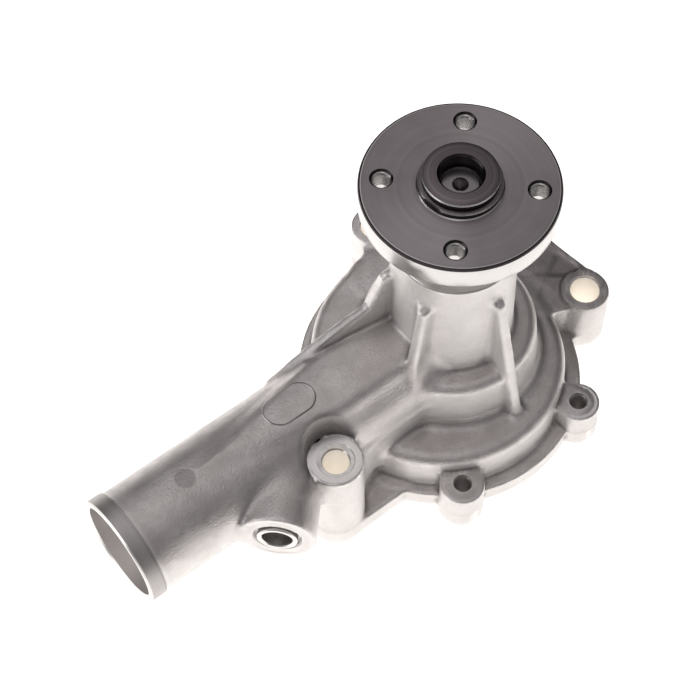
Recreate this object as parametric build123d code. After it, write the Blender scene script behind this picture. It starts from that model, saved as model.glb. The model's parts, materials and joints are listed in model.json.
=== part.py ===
from build123d import *
import os
from math import cos, pi, radians, sin

# Engine coolant pump. Millimetres, +Z up along the shaft, origin on the shaft axis in the
# plane of the mounting face. The inlet pipe runs along -X. Angles are degrees about +Z from +X.

# ---------------------------------------------------------------- heights along the shaft
FLANGE_PLATE_TOP = 8.5
LOW_BOSS_TOP = 19.5
VOLUTE_DECK = 28.0
LUG_TOP = 29.0
PILLAR_TOP = 51.0
DOME_TOP = 52.0
RIB_TOP = 94.0
NECK_TOP = 108.0
DRIVE_PLATE_UNDERSIDE = 134.5
DRIVE_PLATE_TOP = 146.0
HUB_TOP = 153.0

# ---------------------------------------------------------------- casting: volute, dome and neck
VOLUTE_START_ANGLE = -14.0
VOLUTE_START_RADIUS = 49.4
VOLUTE_GROWTH = 0.0665
VOLUTE_FULL_SWEEP = 142.0
TONGUE_START_SWEEP = 254.0
TONGUE_END_SWEEP = 296.0
TONGUE_RADIUS = 48.0
VOLUTE_SHOULDER = 5.0
LEDGE_START_RADIUS = 58.1
LEDGE_GROWTH = 0.036
LEDGE_FULL_SWEEP = 168.0
CASTING_WALL = 5.2
DOME_FOOT_RADIUS = 41.5
DOME_RADIUS = 36.4
NECK_FOOT_RADIUS = 26.6
NECK_RADIUS = 25.0
RIB_ANGLES = (-156.0, -87.0, 36.0)
RIB_THICKNESS = 4.6
RIB_TOP_REACH = 29.0
RIB_FOOT_REACH = 44.6
SPINE_START = (-22.0, 9.4)
SPINE_SLOPE = 0.15
SPINE_THICKNESS = 4.0

# ---------------------------------------------------------------- casting: inlet pipe and side port
PIPE_AXIS_Z = 41.0
PIPE_END_X = -169.2
PIPE_RADIUS = 23.0
PIPE_BORE_RADIUS = 20.6
PIPE_BAND_RADIUS = 23.7
PIPE_BAND_LENGTH = 7.0
PIPE_BAND_STEP = 0.6
PASSAGE_RADIUS = 13.8
PASSAGE_Z = 43.0
SADDLE_TOP = 64.0
PORT_JUNCTION_X = -82.0
PORT_REACH = 47.0
PORT_Z = 40.0
PORT_RADIUS = 15.75
PORT_ROOT_RADIUS = 14.2
PORT_GROOVE_RADIUS = 9.5
PORT_GROOVE_DEPTH = 3.0
PORT_NOSE_RADIUS = 8.25
PORT_NOSE_PROUD = 0.8
PORT_BORE_RADIUS = 6.25

# ---------------------------------------------------------------- casting: bolt bosses
PILLAR = (-78.9, -24.5)
PILLAR_RADIUS = 11.5
PILLAR_HOLE_RADIUS = 5.5
PILLAR_SPOT_RADIUS = 7.6
PILLAR_SPOT_DEPTH = 1.2
PILLAR_CLEARANCE_RADIUS = 11.2
LOW_BOSS_Y = -52.5
LOW_BOSS_LEFT_X = -34.0
LOW_BOSS_RIGHT_X = 30.0
LOW_BOSS_RADIUS = 9.0
LOW_BOSS_HOLE_RADIUS = 3.5
RIGHT_LUG = (65.1, -15.4)
REAR_LUG = (13.6, 67.4)
LUG_RADIUS = 10.4
LUG_HOLE_RADIUS = 6.4
LEDGE_CORNER = (62.0, -23.0)

# ---------------------------------------------------------------- casting: discharge passage
OUTLET_START = (-1.0, 46.0)
OUTLET_START_RADIUS = 12.6
OUTLET_CORNER = (60.5, 14.0)
OUTLET_CORNER_RADIUS = 9.8
OUTLET_TOP = 27.5
OUTLET_RIM_TOP = 29.0

# ---------------------------------------------------------------- casting: water passages
CAVITY_TOP = 21.5
EYE_RADIUS = 24.0
CHAMBER_FLOOR = 27.6
CHAMBER_TOP = 47.0
CHAMBER_RADIUS = 32.0
WEEP_ANGLE = 64.0
WEEP_RADIUS = 2.2

# ---------------------------------------------------------------- shaft bearing
BEARING_BOTTOM = 57.5
BEARING_TOP = 110.5
RACE_RADIUS = 19.0
RACE_BORE_RADIUS = 15.9
BALL_ROWS = {"rear": 71.0, "front": 97.0}
BALL_COUNT = 8
BALL_RADIUS = 3.95
BALL_PITCH_RADIUS = 12.7
RACEWAY_RADIUS = 4.0
POCKET_RADIUS = 4.1
SHAFT_RADIUS = 8.0
SHAFT_BODY_RADIUS = 9.5
SHAFT_TOP = 146.0
SHAFT_BOTTOM = 3.5

# ---------------------------------------------------------------- drive flange
DRIVE_PLATE_RADIUS = 39.0
DRIVE_BOLT_RADIUS = 30.0
DRIVE_BOLT_PHASE = 47.1
DRIVE_HOLE_RADIUS = 3.4
DRIVE_HOLE_MOUTH = 4.65
HUB_RADIUS = 15.0
HUB_RING_RADIUS = 16.4
HUB_BORE_RADIUS = 8.35
HUB_SKIRT_RADIUS = 16.0
HUB_SKIRT_BOTTOM = 113.0
HUB_FLAT_ANGLE = -172.0

# ---------------------------------------------------------------- shaft seal and impeller
SEAL_BORE_RADIUS = 18.25
SEAT_TOP = 35.0
SEAT_BOTTOM = 29.5
FACE_GAP = 0.2
IMPELLER_RADIUS = 41.0
IMPELLER_BOTTOM = 2.5
IMPELLER_DISC_TOP = 5.5
VANE_TOP = 20.7
VANE_COUNT = 7
VANE_THICKNESS = 2.6


def ring(outer, inner, low, high):
    """A plain ring about the shaft axis between two heights."""
    corners = [(inner, 0, low), (outer, 0, low), (outer, 0, high), (inner, 0, high)]
    return revolve(make_face(Polyline(*corners, close=True)), Axis.Z)


def turned(points):
    """A solid of revolution from a closed list of (radius, height) corners."""
    corners = [(radius, 0, height) for radius, height in points]
    return revolve(make_face(Polyline(*corners, close=True)), Axis.Z)


def post(centre, radius, low, high):
    """An upright cylinder at a place in plan, between two heights."""
    return extrude(Plane.XY.offset(low) * Pos(*centre) * Circle(radius), high - low)


def bridge(first, first_radius, second, second_radius, low, high):
    """An upright slab whose plan is the hull of two circles."""
    outline = Pos(*first) * Circle(first_radius) + Pos(*second) * Circle(second_radius)
    hull = make_hull(outline.edges())
    return extrude(Plane.XY.offset(low) * hull, high - low)


def at_angle(angle, radius):
    """A plan position at an angle and a radius from the shaft axis."""
    return (radius * cos(radians(angle)), radius * sin(radians(angle)))


def ease(amount):
    """A smooth step from 0 to 1."""
    return (1 - cos(pi * amount)) / 2


def spiral(sweep, start, growth, full_sweep):
    """Radius of a volute wall that grows with the sweep angle, then drops back at the tongue."""
    full = start + growth * full_sweep
    low = start - (VOLUTE_START_RADIUS - TONGUE_RADIUS)
    if sweep <= TONGUE_START_SWEEP:
        return start + growth * min(sweep, full_sweep)
    if sweep <= TONGUE_END_SWEEP:
        part = (sweep - TONGUE_START_SWEEP) / (TONGUE_END_SWEEP - TONGUE_START_SWEEP)
        return full + (low - full) * ease(part)
    part = (sweep - TONGUE_END_SWEEP) / (360.0 - TONGUE_END_SWEEP)
    return low + (start - low) * part


def volute_outline(start, growth, full_sweep, inset=0.0, step=12):
    """The closed plan outline of the volute at one level."""
    points = []
    for sweep in range(0, 360, step):
        radius = spiral(sweep, start, growth, full_sweep) - inset
        points.append(at_angle(VOLUTE_START_ANGLE - sweep, radius))
    return make_face(Spline(*points, periodic=True))


def volute_block():
    """The volute casing with its rounded outer shoulder, on the wider mounting plate."""
    wall = volute_outline(VOLUTE_START_RADIUS, VOLUTE_GROWTH, VOLUTE_FULL_SWEEP)
    block = extrude(wall, VOLUTE_DECK)
    block = fillet(block.edges().group_by(Axis.Z)[-1], VOLUTE_SHOULDER)
    ledge = volute_outline(LEDGE_START_RADIUS, LEDGE_GROWTH, LEDGE_FULL_SWEEP)
    plate = extrude(ledge, FLANGE_PLATE_TOP)
    plate = fillet(plate.edges().group_by(Axis.Z)[-1], 1.0)
    return block + plate


def dome_and_neck():
    """The raised suction dome and the bearing neck above it, one turned shape with soft corners."""
    profile = Polyline(
        (0, 0, 20), (DOME_FOOT_RADIUS, 0, 20), (DOME_FOOT_RADIUS, 0, VOLUTE_DECK), (38.6, 0, 31.5),
        (DOME_RADIUS, 0, DOME_TOP), (NECK_FOOT_RADIUS, 0, DOME_TOP), (NECK_RADIUS, 0, NECK_TOP),
        (0, 0, NECK_TOP), close=True)
    solid = revolve(make_face(profile), Axis.Z)
    circles = solid.edges().filter_by(GeomType.CIRCLE)
    shoulder = circles.filter_by_position(Axis.Z, DOME_TOP - 0.1, DOME_TOP + 0.1)
    rounded = fillet(shoulder, 3.6)
    circles = rounded.edges().filter_by(GeomType.CIRCLE)
    rim = circles.filter_by_position(Axis.Z, NECK_TOP - 0.1, NECK_TOP + 0.1)
    return chamfer(rim, 0.8)


def neck_ribs():
    """Gussets from the neck down over the dome to the volute deck."""
    profile = Polyline(
        (18, 0, 26), (RIB_FOOT_REACH, 0, 26), (RIB_FOOT_REACH, 0, VOLUTE_DECK),
        (RIB_TOP_REACH, 0, RIB_TOP - 1.6), (RIB_TOP_REACH - 1.4, 0, RIB_TOP), (18, 0, RIB_TOP), close=True)
    rib = extrude(make_face(profile), RIB_THICKNESS / 2, dir=(0, 1, 0), both=True)
    return [Rot(0, 0, angle) * rib for angle in RIB_ANGLES]


def inlet_pipe():
    """The inlet pipe with its turned end band, and the flat saddle where it runs into the dome."""
    barrel_start = PIPE_END_X + PIPE_BAND_LENGTH + PIPE_BAND_STEP
    profile = Polyline(
        (PIPE_END_X, 0), (PIPE_END_X, PIPE_BAND_RADIUS - 0.6), (PIPE_END_X + 0.6, PIPE_BAND_RADIUS),
        (PIPE_END_X + PIPE_BAND_LENGTH, PIPE_BAND_RADIUS), (barrel_start, PIPE_RADIUS), (0, PIPE_RADIUS),
        (0, 0), close=True)
    pipe = Pos(0, 0, PIPE_AXIS_Z) * revolve(make_face(profile), Axis.X)
    outline = Polyline((-20, -15.5), (-66, -15.5), (-110, -6), (-110, 5), (-66, 13), (-20, 13), close=True)
    saddle = extrude(Plane.XY.offset(40) * make_face(outline), SADDLE_TOP - 40)
    saddle = fillet(saddle.edges().group_by(Axis.Z)[-1], 2.4)
    cheeks = Pos(-45, 0, 34) * Box(60, 2 * PIPE_RADIUS, 2 * (PIPE_AXIS_Z - 34))
    return [pipe, saddle, cheeks]


def spine_rib():
    """The thin rib along the pipe's upper edge, rising to the neck, drawn as distance out against height."""
    profile = Polyline(
        (-2, 50), (58, 50), (58, 55), (39, 63.8), (26, 70.6), (14.4, 75.4), (12.2, 77), (6, 92.5), (4, 94),
        (-2, 94), close=True)
    start_x, start_y = SPINE_START
    along = Vector(-1, SPINE_SLOPE, 0).normalized()
    across = Vector(SPINE_SLOPE, 1, 0).normalized()
    face = Plane(origin=(start_x, start_y, 0), x_dir=along, z_dir=across) * make_face(profile)
    return extrude(face, SPINE_THICKNESS)


def side_port():
    """The smaller port stub at 45 degrees to the pipe."""
    direction = Vector(-cos(pi / 4), -sin(pi / 4), 0)
    junction = Vector(PORT_JUNCTION_X, 0, PORT_Z)
    plane = Plane(origin=junction, z_dir=direction)
    return loft([plane * Circle(PORT_ROOT_RADIUS), plane.offset(PORT_REACH) * Circle(PORT_RADIUS)])


def port_face():
    """The plane of the port's machined face."""
    direction = Vector(-cos(pi / 4), -sin(pi / 4), 0)
    return Plane(origin=Vector(PORT_JUNCTION_X, 0, PORT_Z) + direction * PORT_REACH, z_dir=direction)


def port_nose():
    """The inner land of the port, standing a little proud of its face."""
    return extrude(port_face() * Circle(PORT_NOSE_RADIUS), PORT_NOSE_PROUD)


def port_hole():
    """The port's bore, and the groove cut in its face round the inner land."""
    bore = extrude(port_face().offset(-40) * Circle(PORT_BORE_RADIUS), 42)
    groove = Circle(PORT_GROOVE_RADIUS) - Circle(PORT_NOSE_RADIUS)
    return [bore, extrude(port_face().offset(-PORT_GROOVE_DEPTH) * groove, PORT_GROOVE_DEPTH + 1)]


def bolt_bosses():
    """Bosses, lugs and the pillar, each standing on the mounting face and webbed to the casing."""
    pillar_x, pillar_y = PILLAR
    low_left = (LOW_BOSS_LEFT_X, LOW_BOSS_Y)
    low_right = (LOW_BOSS_RIGHT_X, LOW_BOSS_Y)
    bosses = [
        post(PILLAR, PILLAR_RADIUS, 0, PILLAR_TOP),
        bridge(PILLAR, PILLAR_RADIUS + 0.3, (-50, pillar_y), PILLAR_RADIUS + 0.3, 0, FLANGE_PLATE_TOP),
        bridge(PILLAR, 6.0, (-52, -8), 12.0, 0, 40),
        post(low_left, LOW_BOSS_RADIUS, 0, LOW_BOSS_TOP),
        bridge(low_left, LOW_BOSS_RADIUS + 0.3, at_angle(-122.9, 50), 11.5, 0, FLANGE_PLATE_TOP),
        bridge(low_left, LOW_BOSS_RADIUS - 0.3, at_angle(-122.9, 46), LOW_BOSS_RADIUS - 0.3, 0,
               LOW_BOSS_TOP - 0.2),
        post(low_right, LOW_BOSS_RADIUS, 0, LOW_BOSS_TOP),
        bridge(low_right, LOW_BOSS_RADIUS + 0.3, at_angle(-60, 48), 12.0, 0, FLANGE_PLATE_TOP),
        bridge(low_right, 6.0, at_angle(-60, 42), 9.0, 0, LOW_BOSS_TOP - 0.2),
        post(RIGHT_LUG, LUG_RADIUS, 0, LUG_TOP),
        bridge(LEDGE_CORNER, 1.5, at_angle(-8, 40), 16.0, 0, FLANGE_PLATE_TOP),
        bridge(RIGHT_LUG, LUG_RADIUS - 0.3, OUTLET_CORNER, OUTLET_CORNER_RADIUS, 0, OUTLET_TOP),
        bridge(RIGHT_LUG, 7.0, at_angle(4, 36), 12.0, 0, OUTLET_TOP),
        bridge(OUTLET_CORNER, OUTLET_CORNER_RADIUS, at_angle(4, 36), 12.0, 0, OUTLET_TOP),
        bridge(OUTLET_CORNER, OUTLET_CORNER_RADIUS, OUTLET_START, OUTLET_START_RADIUS, 0, OUTLET_TOP),
        bridge((72.6, -12.0), 1.6, (68.8, 14.0), 1.6, OUTLET_TOP - 2, OUTLET_RIM_TOP),
        post(REAR_LUG, LUG_RADIUS, 0, LUG_TOP),
        bridge(REAR_LUG, LUG_RADIUS + 0.3, at_angle(84, 42), 15.0, 0, FLANGE_PLATE_TOP),
        bridge(REAR_LUG, 7.0, at_angle(86, 40), 12.0, 0, VOLUTE_DECK),
    ]
    return bosses


def bolt_holes():
    """Every bolt hole, with the pillar's machined seat and the room above it for a bolt head."""
    holes = [
        post(PILLAR, PILLAR_CLEARANCE_RADIUS, PILLAR_TOP, SADDLE_TOP + 1),
        post(PILLAR, PILLAR_HOLE_RADIUS, -1, PILLAR_TOP + 1),
        post(PILLAR, PILLAR_SPOT_RADIUS, PILLAR_TOP - PILLAR_SPOT_DEPTH, PILLAR_TOP + 1),
        post(RIGHT_LUG, LUG_HOLE_RADIUS, -1, LUG_TOP + 1),
        post(REAR_LUG, LUG_HOLE_RADIUS, -1, LUG_TOP + 1),
    ]
    for x in (LOW_BOSS_LEFT_X, LOW_BOSS_RIGHT_X):
        holes.append(post((x, LOW_BOSS_Y), LOW_BOSS_HOLE_RADIUS, -1, LOW_BOSS_TOP + 1))
    return holes


def water_passages():
    """The volute cavity, the eye, the suction chamber and the way in from the pipe."""
    outline = volute_outline(VOLUTE_START_RADIUS, VOLUTE_GROWTH, VOLUTE_FULL_SWEEP, inset=CASTING_WALL)
    cavity = extrude(Plane.XY.offset(-1) * outline, CAVITY_TOP + 1)
    cavity = fillet(cavity.edges().group_by(Axis.Z)[-1], 2.5)
    bore_start = Plane(origin=(PIPE_END_X - 1, 0, PIPE_AXIS_Z), z_dir=(1, 0, 0))
    wide = extrude(bore_start * Circle(PIPE_BORE_RADIUS), 61)
    wide_end = Plane(origin=(PIPE_END_X + 60, 0, PIPE_AXIS_Z), z_dir=(1, 0, 0))
    narrow_start = Plane(origin=(-90, 0, PASSAGE_Z), z_dir=(1, 0, 0))
    taper = loft([wide_end * Circle(PIPE_BORE_RADIUS), narrow_start * Circle(PASSAGE_RADIUS)])
    narrow = extrude(narrow_start * Circle(PASSAGE_RADIUS), 62)
    return [
        cavity,
        bridge(OUTLET_CORNER, OUTLET_CORNER_RADIUS - CASTING_WALL, OUTLET_START,
               OUTLET_START_RADIUS - CASTING_WALL, -1, CAVITY_TOP - 1.5),
        bridge(OUTLET_CORNER, OUTLET_CORNER_RADIUS - CASTING_WALL, (35.0, 10.0), 8.0, -1, CAVITY_TOP - 1.5),
        post((0, 0), EYE_RADIUS, CAVITY_TOP - 1, CHAMBER_FLOOR + 1),
        post((0, 0), CHAMBER_RADIUS, CHAMBER_FLOOR, CHAMBER_TOP),
        wide,
        taper,
        narrow,
    ]


def machined_bores():
    """The bearing and seal bores up the neck, and the weep hole between them."""
    weep_plane = Plane(origin=(0, 0, 56.0), z_dir=(cos(radians(WEEP_ANGLE)), sin(radians(WEEP_ANGLE)), 0))
    return [
        post((0, 0), SEAL_BORE_RADIUS, CHAMBER_TOP - 1, BEARING_BOTTOM + 1),
        post((0, 0), RACE_RADIUS, BEARING_BOTTOM, NECK_TOP + 1),
        turned([(RACE_RADIUS - 1, NECK_TOP - 1), (RACE_RADIUS, NECK_TOP - 0.8),
                (RACE_RADIUS + 0.9, NECK_TOP + 0.1), (RACE_RADIUS - 1, NECK_TOP + 0.1)]),
        extrude(weep_plane * Circle(WEEP_RADIUS), 32),
    ]


def pump_housing():
    """The one-piece cast and machined housing."""
    solid = volute_block() + dome_and_neck()
    for piece in neck_ribs() + inlet_pipe() + [spine_rib(), side_port(), port_nose()] + bolt_bosses():
        solid += piece
    for cut in water_passages() + machined_bores() + bolt_holes() + port_hole():
        solid -= cut
    return solid


def ball_row(height):
    """One row of bearing balls."""
    balls = []
    for index in range(BALL_COUNT):
        x, y = at_angle(360.0 * index / BALL_COUNT, BALL_PITCH_RADIUS)
        balls.append(Pos(x, y, height) * Sphere(BALL_RADIUS))
    return Compound(children=balls)


def ball_cage(height, side):
    """A crown cage: a ring on one side of the balls, with a pocket for each."""
    low, high = sorted((height - side * 1.8, height + side * 5.4))
    cage = ring(14.1, 11.3, low, high)
    for index in range(BALL_COUNT):
        x, y = at_angle(360.0 * index / BALL_COUNT, BALL_PITCH_RADIUS)
        cage -= Pos(x, y, height) * Sphere(POCKET_RADIUS)
    return cage


def raceways():
    """The ball grooves, as rings to cut from the shaft and the outer race."""
    return [Pos(0, 0, height) * Torus(BALL_PITCH_RADIUS, RACEWAY_RADIUS) for height in BALL_ROWS.values()]


def bearing_outer_race():
    """The long outer race pressed into the neck."""
    race = ring(RACE_RADIUS, RACE_BORE_RADIUS, BEARING_BOTTOM, BEARING_TOP)
    race = chamfer(race.edges().filter_by(GeomType.CIRCLE), 0.5)
    for groove in raceways():
        race -= groove
    return race


def bearing_seal(low):
    """A rubber lip seal closing one end of the bearing."""
    return turned([
        (RACE_BORE_RADIUS, low), (RACE_BORE_RADIUS, low + 1.8), (13.6, low + 1.8), (12.6, low + 1.2),
        (10.6, low + 1.2), (SHAFT_BODY_RADIUS + 0.1, low + 1.7), (SHAFT_BODY_RADIUS + 0.1, low + 0.4),
        (12.6, low)])


def pump_shaft():
    """The shaft, thicker inside the bearing, with both ball grooves and centre-drilled ends."""
    body_low = BEARING_BOTTOM + 0.5
    body_high = BEARING_TOP - 0.5
    shaft = turned([
        (0, SHAFT_BOTTOM), (SHAFT_RADIUS - 1, SHAFT_BOTTOM), (SHAFT_RADIUS, SHAFT_BOTTOM + 1),
        (SHAFT_RADIUS, body_low - 0.6), (SHAFT_BODY_RADIUS, body_low), (SHAFT_BODY_RADIUS, body_high),
        (SHAFT_RADIUS, body_high + 0.6), (SHAFT_RADIUS, SHAFT_TOP - 1), (SHAFT_RADIUS - 1, SHAFT_TOP),
        (3.2, SHAFT_TOP), (1.3, SHAFT_TOP - 3.2), (1.3, SHAFT_TOP - 6), (0, SHAFT_TOP - 6.6)])
    for groove in raceways():
        shaft -= groove
    return shaft


def drive_flange():
    """The steel pulley flange: plate, raised pilot hub with its groove, and the skirt on the shaft."""
    flange = turned([
        (SHAFT_RADIUS, HUB_SKIRT_BOTTOM + 0.8), (SHAFT_RADIUS + 0.8, HUB_SKIRT_BOTTOM),
        (HUB_SKIRT_RADIUS - 1.2, HUB_SKIRT_BOTTOM), (HUB_SKIRT_RADIUS, HUB_SKIRT_BOTTOM + 1.2),
        (HUB_SKIRT_RADIUS, DRIVE_PLATE_UNDERSIDE - 1.5), (HUB_SKIRT_RADIUS + 1.5, DRIVE_PLATE_UNDERSIDE),
        (DRIVE_PLATE_RADIUS - 0.8, DRIVE_PLATE_UNDERSIDE), (DRIVE_PLATE_RADIUS, DRIVE_PLATE_UNDERSIDE + 0.8),
        (DRIVE_PLATE_RADIUS, DRIVE_PLATE_TOP - 1.0), (DRIVE_PLATE_RADIUS - 1.0, DRIVE_PLATE_TOP),
        (HUB_RING_RADIUS + 0.3, DRIVE_PLATE_TOP), (HUB_RING_RADIUS, DRIVE_PLATE_TOP + 0.3),
        (HUB_RING_RADIUS, DRIVE_PLATE_TOP + 2.4), (HUB_RING_RADIUS - 0.8, DRIVE_PLATE_TOP + 3.2),
        (HUB_RADIUS - 1.0, DRIVE_PLATE_TOP + 3.2), (HUB_RADIUS - 1.0, DRIVE_PLATE_TOP + 4.2),
        (HUB_RADIUS, DRIVE_PLATE_TOP + 4.6), (HUB_RADIUS, HUB_TOP - 0.9), (HUB_RADIUS - 0.9, HUB_TOP),
        (HUB_BORE_RADIUS + 0.7, HUB_TOP), (HUB_BORE_RADIUS, HUB_TOP - 0.7), (HUB_BORE_RADIUS, SHAFT_TOP),
        (SHAFT_RADIUS, SHAFT_TOP)])
    for index in range(4):
        spot = at_angle(DRIVE_BOLT_PHASE + 90 * index, DRIVE_BOLT_RADIUS)
        flange -= post(spot, DRIVE_HOLE_RADIUS, DRIVE_PLATE_UNDERSIDE - 1, DRIVE_PLATE_TOP + 1)
        depth = DRIVE_HOLE_MOUTH - DRIVE_HOLE_RADIUS
        flange -= loft([
            Plane.XY.offset(DRIVE_PLATE_TOP - depth) * Pos(*spot) * Circle(DRIVE_HOLE_RADIUS),
            Plane.XY.offset(DRIVE_PLATE_TOP) * Pos(*spot) * Circle(DRIVE_HOLE_MOUTH)])
    flat = Pos(HUB_RING_RADIUS + 4.3, 0, DRIVE_PLATE_TOP + 1.9) * Box(10, 14, 3.0)
    return flange - Rot(0, 0, HUB_FLAT_ANGLE) * flat


def impeller():
    """The open impeller: disc, hub and backward-curved vanes facing the eye."""
    wheel = turned([
        (SHAFT_RADIUS, IMPELLER_BOTTOM), (IMPELLER_RADIUS, IMPELLER_BOTTOM),
        (IMPELLER_RADIUS, IMPELLER_DISC_TOP), (16, IMPELLER_DISC_TOP), (13, IMPELLER_DISC_TOP + 3),
        (12, 16), (12, 25.5), (15, 27.5), (15, SEAT_BOTTOM), (SHAFT_RADIUS, SEAT_BOTTOM)])
    arc = ThreePointArc(at_angle(0, 14.5), at_angle(-17, 27.5), at_angle(-46, IMPELLER_RADIUS - 1.5))
    root = IMPELLER_DISC_TOP - 0.5
    vane = extrude(Plane.XY.offset(root) * trace(arc, VANE_THICKNESS), VANE_TOP - root)
    rim = post((0, 0), IMPELLER_RADIUS, IMPELLER_DISC_TOP - 1, VANE_TOP + 1)
    hub_hole = post((0, 0), 10, IMPELLER_DISC_TOP - 1, VANE_TOP + 1)
    vane = (vane & rim) - hub_hole
    for index in range(VANE_COUNT):
        wheel += Rot(0, 0, 360.0 * index / VANE_COUNT) * vane
    return wheel


def seal_case():
    """The pressed metal case of the shaft seal, flanged against the suction chamber's roof."""
    inner = SEAL_BORE_RADIUS - 1
    return turned([
        (11.0, 53.0), (inner, 53.0), (inner, CHAMBER_TOP - 1), (21.0, CHAMBER_TOP - 1), (21.0, CHAMBER_TOP),
        (SEAL_BORE_RADIUS, CHAMBER_TOP), (SEAL_BORE_RADIUS, 54.0), (11.0, 54.0)])


def seal_bellows():
    """The rubber bellows between the seal's case and its carbon ring."""
    return turned([
        (11.0, 52.0), (11.0, 48.5), (12.4, 47.0), (11.0, 45.5), (11.0, 40.0), (15.0, 40.0), (15.0, 42.0),
        (12.2, 42.0), (12.2, 45.0), (13.4, 47.0), (12.2, 49.0), (12.2, 52.0), (17.2, 52.0), (17.2, 53.0),
        (11.0, 53.0)])


def seal_spring():
    """The coil spring that presses the carbon ring on its seat."""
    helix = Helix(pitch=2.1, height=6.3, radius=14.9, center=(0, 0, 43.9))
    wire = Plane(origin=helix @ 0, z_dir=helix % 0) * Circle(0.6)
    return sweep(wire, path=helix, is_frenet=True)


def seal_spring_holder():
    """The ring that seats the spring's upper end."""
    return turned([(12.25, 51.1), (17.1, 51.1), (17.1, 51.9), (12.25, 51.9)])


def seal_drive_ring():
    """The pressed ring round the bellows that carries the carbon and the spring's lower end."""
    return turned([
        (15.05, 37.5), (15.7, 37.5), (15.7, 43.0), (12.4, 43.0), (12.4, 42.4), (13.9, 42.4), (13.9, 42.1),
        (15.05, 42.1)])


def seal_carbon_ring():
    """The stationary carbon ring with its narrow running nose."""
    nose = SEAT_TOP + FACE_GAP
    return turned([
        (10.6, nose), (13.0, nose), (13.0, nose + 1.2), (14.9, nose + 1.2), (14.9, 40.0), (10.6, 40.0)])


def seal_seat_ring():
    """The ceramic seat that turns with the shaft."""
    return ring(14.4, 9.8, SEAT_BOTTOM + 1.6, SEAT_TOP)


def seal_seat_cup():
    """The rubber cup that holds the ceramic seat on the shaft."""
    return turned([
        (SHAFT_RADIUS, SEAT_BOTTOM), (15.6, SEAT_BOTTOM), (15.6, SEAT_TOP - 1.2), (14.4, SEAT_TOP - 1.2),
        (14.4, SEAT_BOTTOM + 1.6), (9.8, SEAT_BOTTOM + 1.6), (9.8, SEAT_TOP - 0.6),
        (SHAFT_RADIUS, SEAT_TOP - 0.6)])


def slinger():
    """The dished disc that throws leaked coolant off the shaft before the bearing."""
    return turned([
        (SHAFT_RADIUS, 54.6), (9.6, 54.6), (9.6, 55.4), (12.6, 55.0), (14.2, 54.5), (14.4, 55.2),
        (12.8, 55.9), (9.6, 56.4), (SHAFT_RADIUS, 56.4)])


NODES = {
    "pump_housing": pump_housing(),
    "bearing_outer_race": bearing_outer_race(),
    "bearing_front_seal": bearing_seal(BEARING_TOP - 3.0),
    "bearing_rear_seal": bearing_seal(BEARING_BOTTOM + 1.0),
    "seal_case": seal_case(),
    "seal_bellows": seal_bellows(),
    "seal_spring": seal_spring(),
    "seal_spring_holder": seal_spring_holder(),
    "seal_drive_ring": seal_drive_ring(),
    "seal_carbon_ring": seal_carbon_ring(),
    "drive_flange": drive_flange(),
    "pump_shaft": pump_shaft(),
    "slinger": slinger(),
    "impeller": impeller(),
    "seal_seat_ring": seal_seat_ring(),
    "seal_seat_cup": seal_seat_cup(),
    "front_balls": ball_row(BALL_ROWS["front"]),
    "front_cage": ball_cage(BALL_ROWS["front"], 1),
    "rear_balls": ball_row(BALL_ROWS["rear"]),
    "rear_cage": ball_cage(BALL_ROWS["rear"], -1),
}

os.makedirs("parts", exist_ok=True)
for name, solid in NODES.items():
    export_step(solid, f"parts/{name}.step")
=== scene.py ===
import json
import math

import bmesh
import bpy
import numpy as np
from mathutils import Matrix, Vector


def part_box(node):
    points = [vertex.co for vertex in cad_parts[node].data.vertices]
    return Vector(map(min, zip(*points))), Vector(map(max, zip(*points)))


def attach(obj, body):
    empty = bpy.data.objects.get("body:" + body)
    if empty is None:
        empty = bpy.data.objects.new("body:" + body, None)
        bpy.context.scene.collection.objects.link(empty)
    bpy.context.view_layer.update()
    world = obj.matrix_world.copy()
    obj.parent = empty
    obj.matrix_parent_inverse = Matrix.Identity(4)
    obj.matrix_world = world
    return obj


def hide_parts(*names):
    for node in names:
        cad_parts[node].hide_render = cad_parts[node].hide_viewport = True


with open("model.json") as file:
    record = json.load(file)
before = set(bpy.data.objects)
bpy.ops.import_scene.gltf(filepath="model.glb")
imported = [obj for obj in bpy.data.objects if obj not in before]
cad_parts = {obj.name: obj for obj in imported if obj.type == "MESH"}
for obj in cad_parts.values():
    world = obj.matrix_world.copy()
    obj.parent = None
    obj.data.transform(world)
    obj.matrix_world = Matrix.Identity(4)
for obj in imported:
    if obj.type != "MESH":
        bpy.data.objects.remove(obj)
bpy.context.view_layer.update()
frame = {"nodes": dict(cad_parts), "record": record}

MM = 0.001
MOUNTS = {mount["name"]: mount for mount in frame["record"]["mounts"]}


def node_box(node):
    """Lowest and highest corner of a CAD node, in millimetres."""
    low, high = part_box(node)
    return Vector(low) / MM, Vector(high) / MM


def mount_place(name):
    """Where a mount of the record is, in millimetres."""
    return Vector(MOUNTS[name]["pos_m"]) / MM


def mount_radius(name):
    """The hole or pin radius that a mount of the record states, in millimetres."""
    dims = MOUNTS[name]["dims"]
    return dims.get("r_mm", dims.get("hole_r_mm"))


# ---------------- sizes, in millimetres and degrees
HOUSING_LOW, HOUSING_HIGH = node_box("pump_housing")
FLANGE_LOW, FLANGE_HIGH = node_box("drive_flange")

LEDGE_TOP = 8.5
LOW_BOSS_TOP = mount_place("low_boss_holes").z
DECK = 28.0
LUG_TOP = 29.0
PILLAR_TOP = 51.0
DOME_TOP = 52.0
RIB_TOP = 94.0
NECK_TOP = HOUSING_HIGH.z

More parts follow.
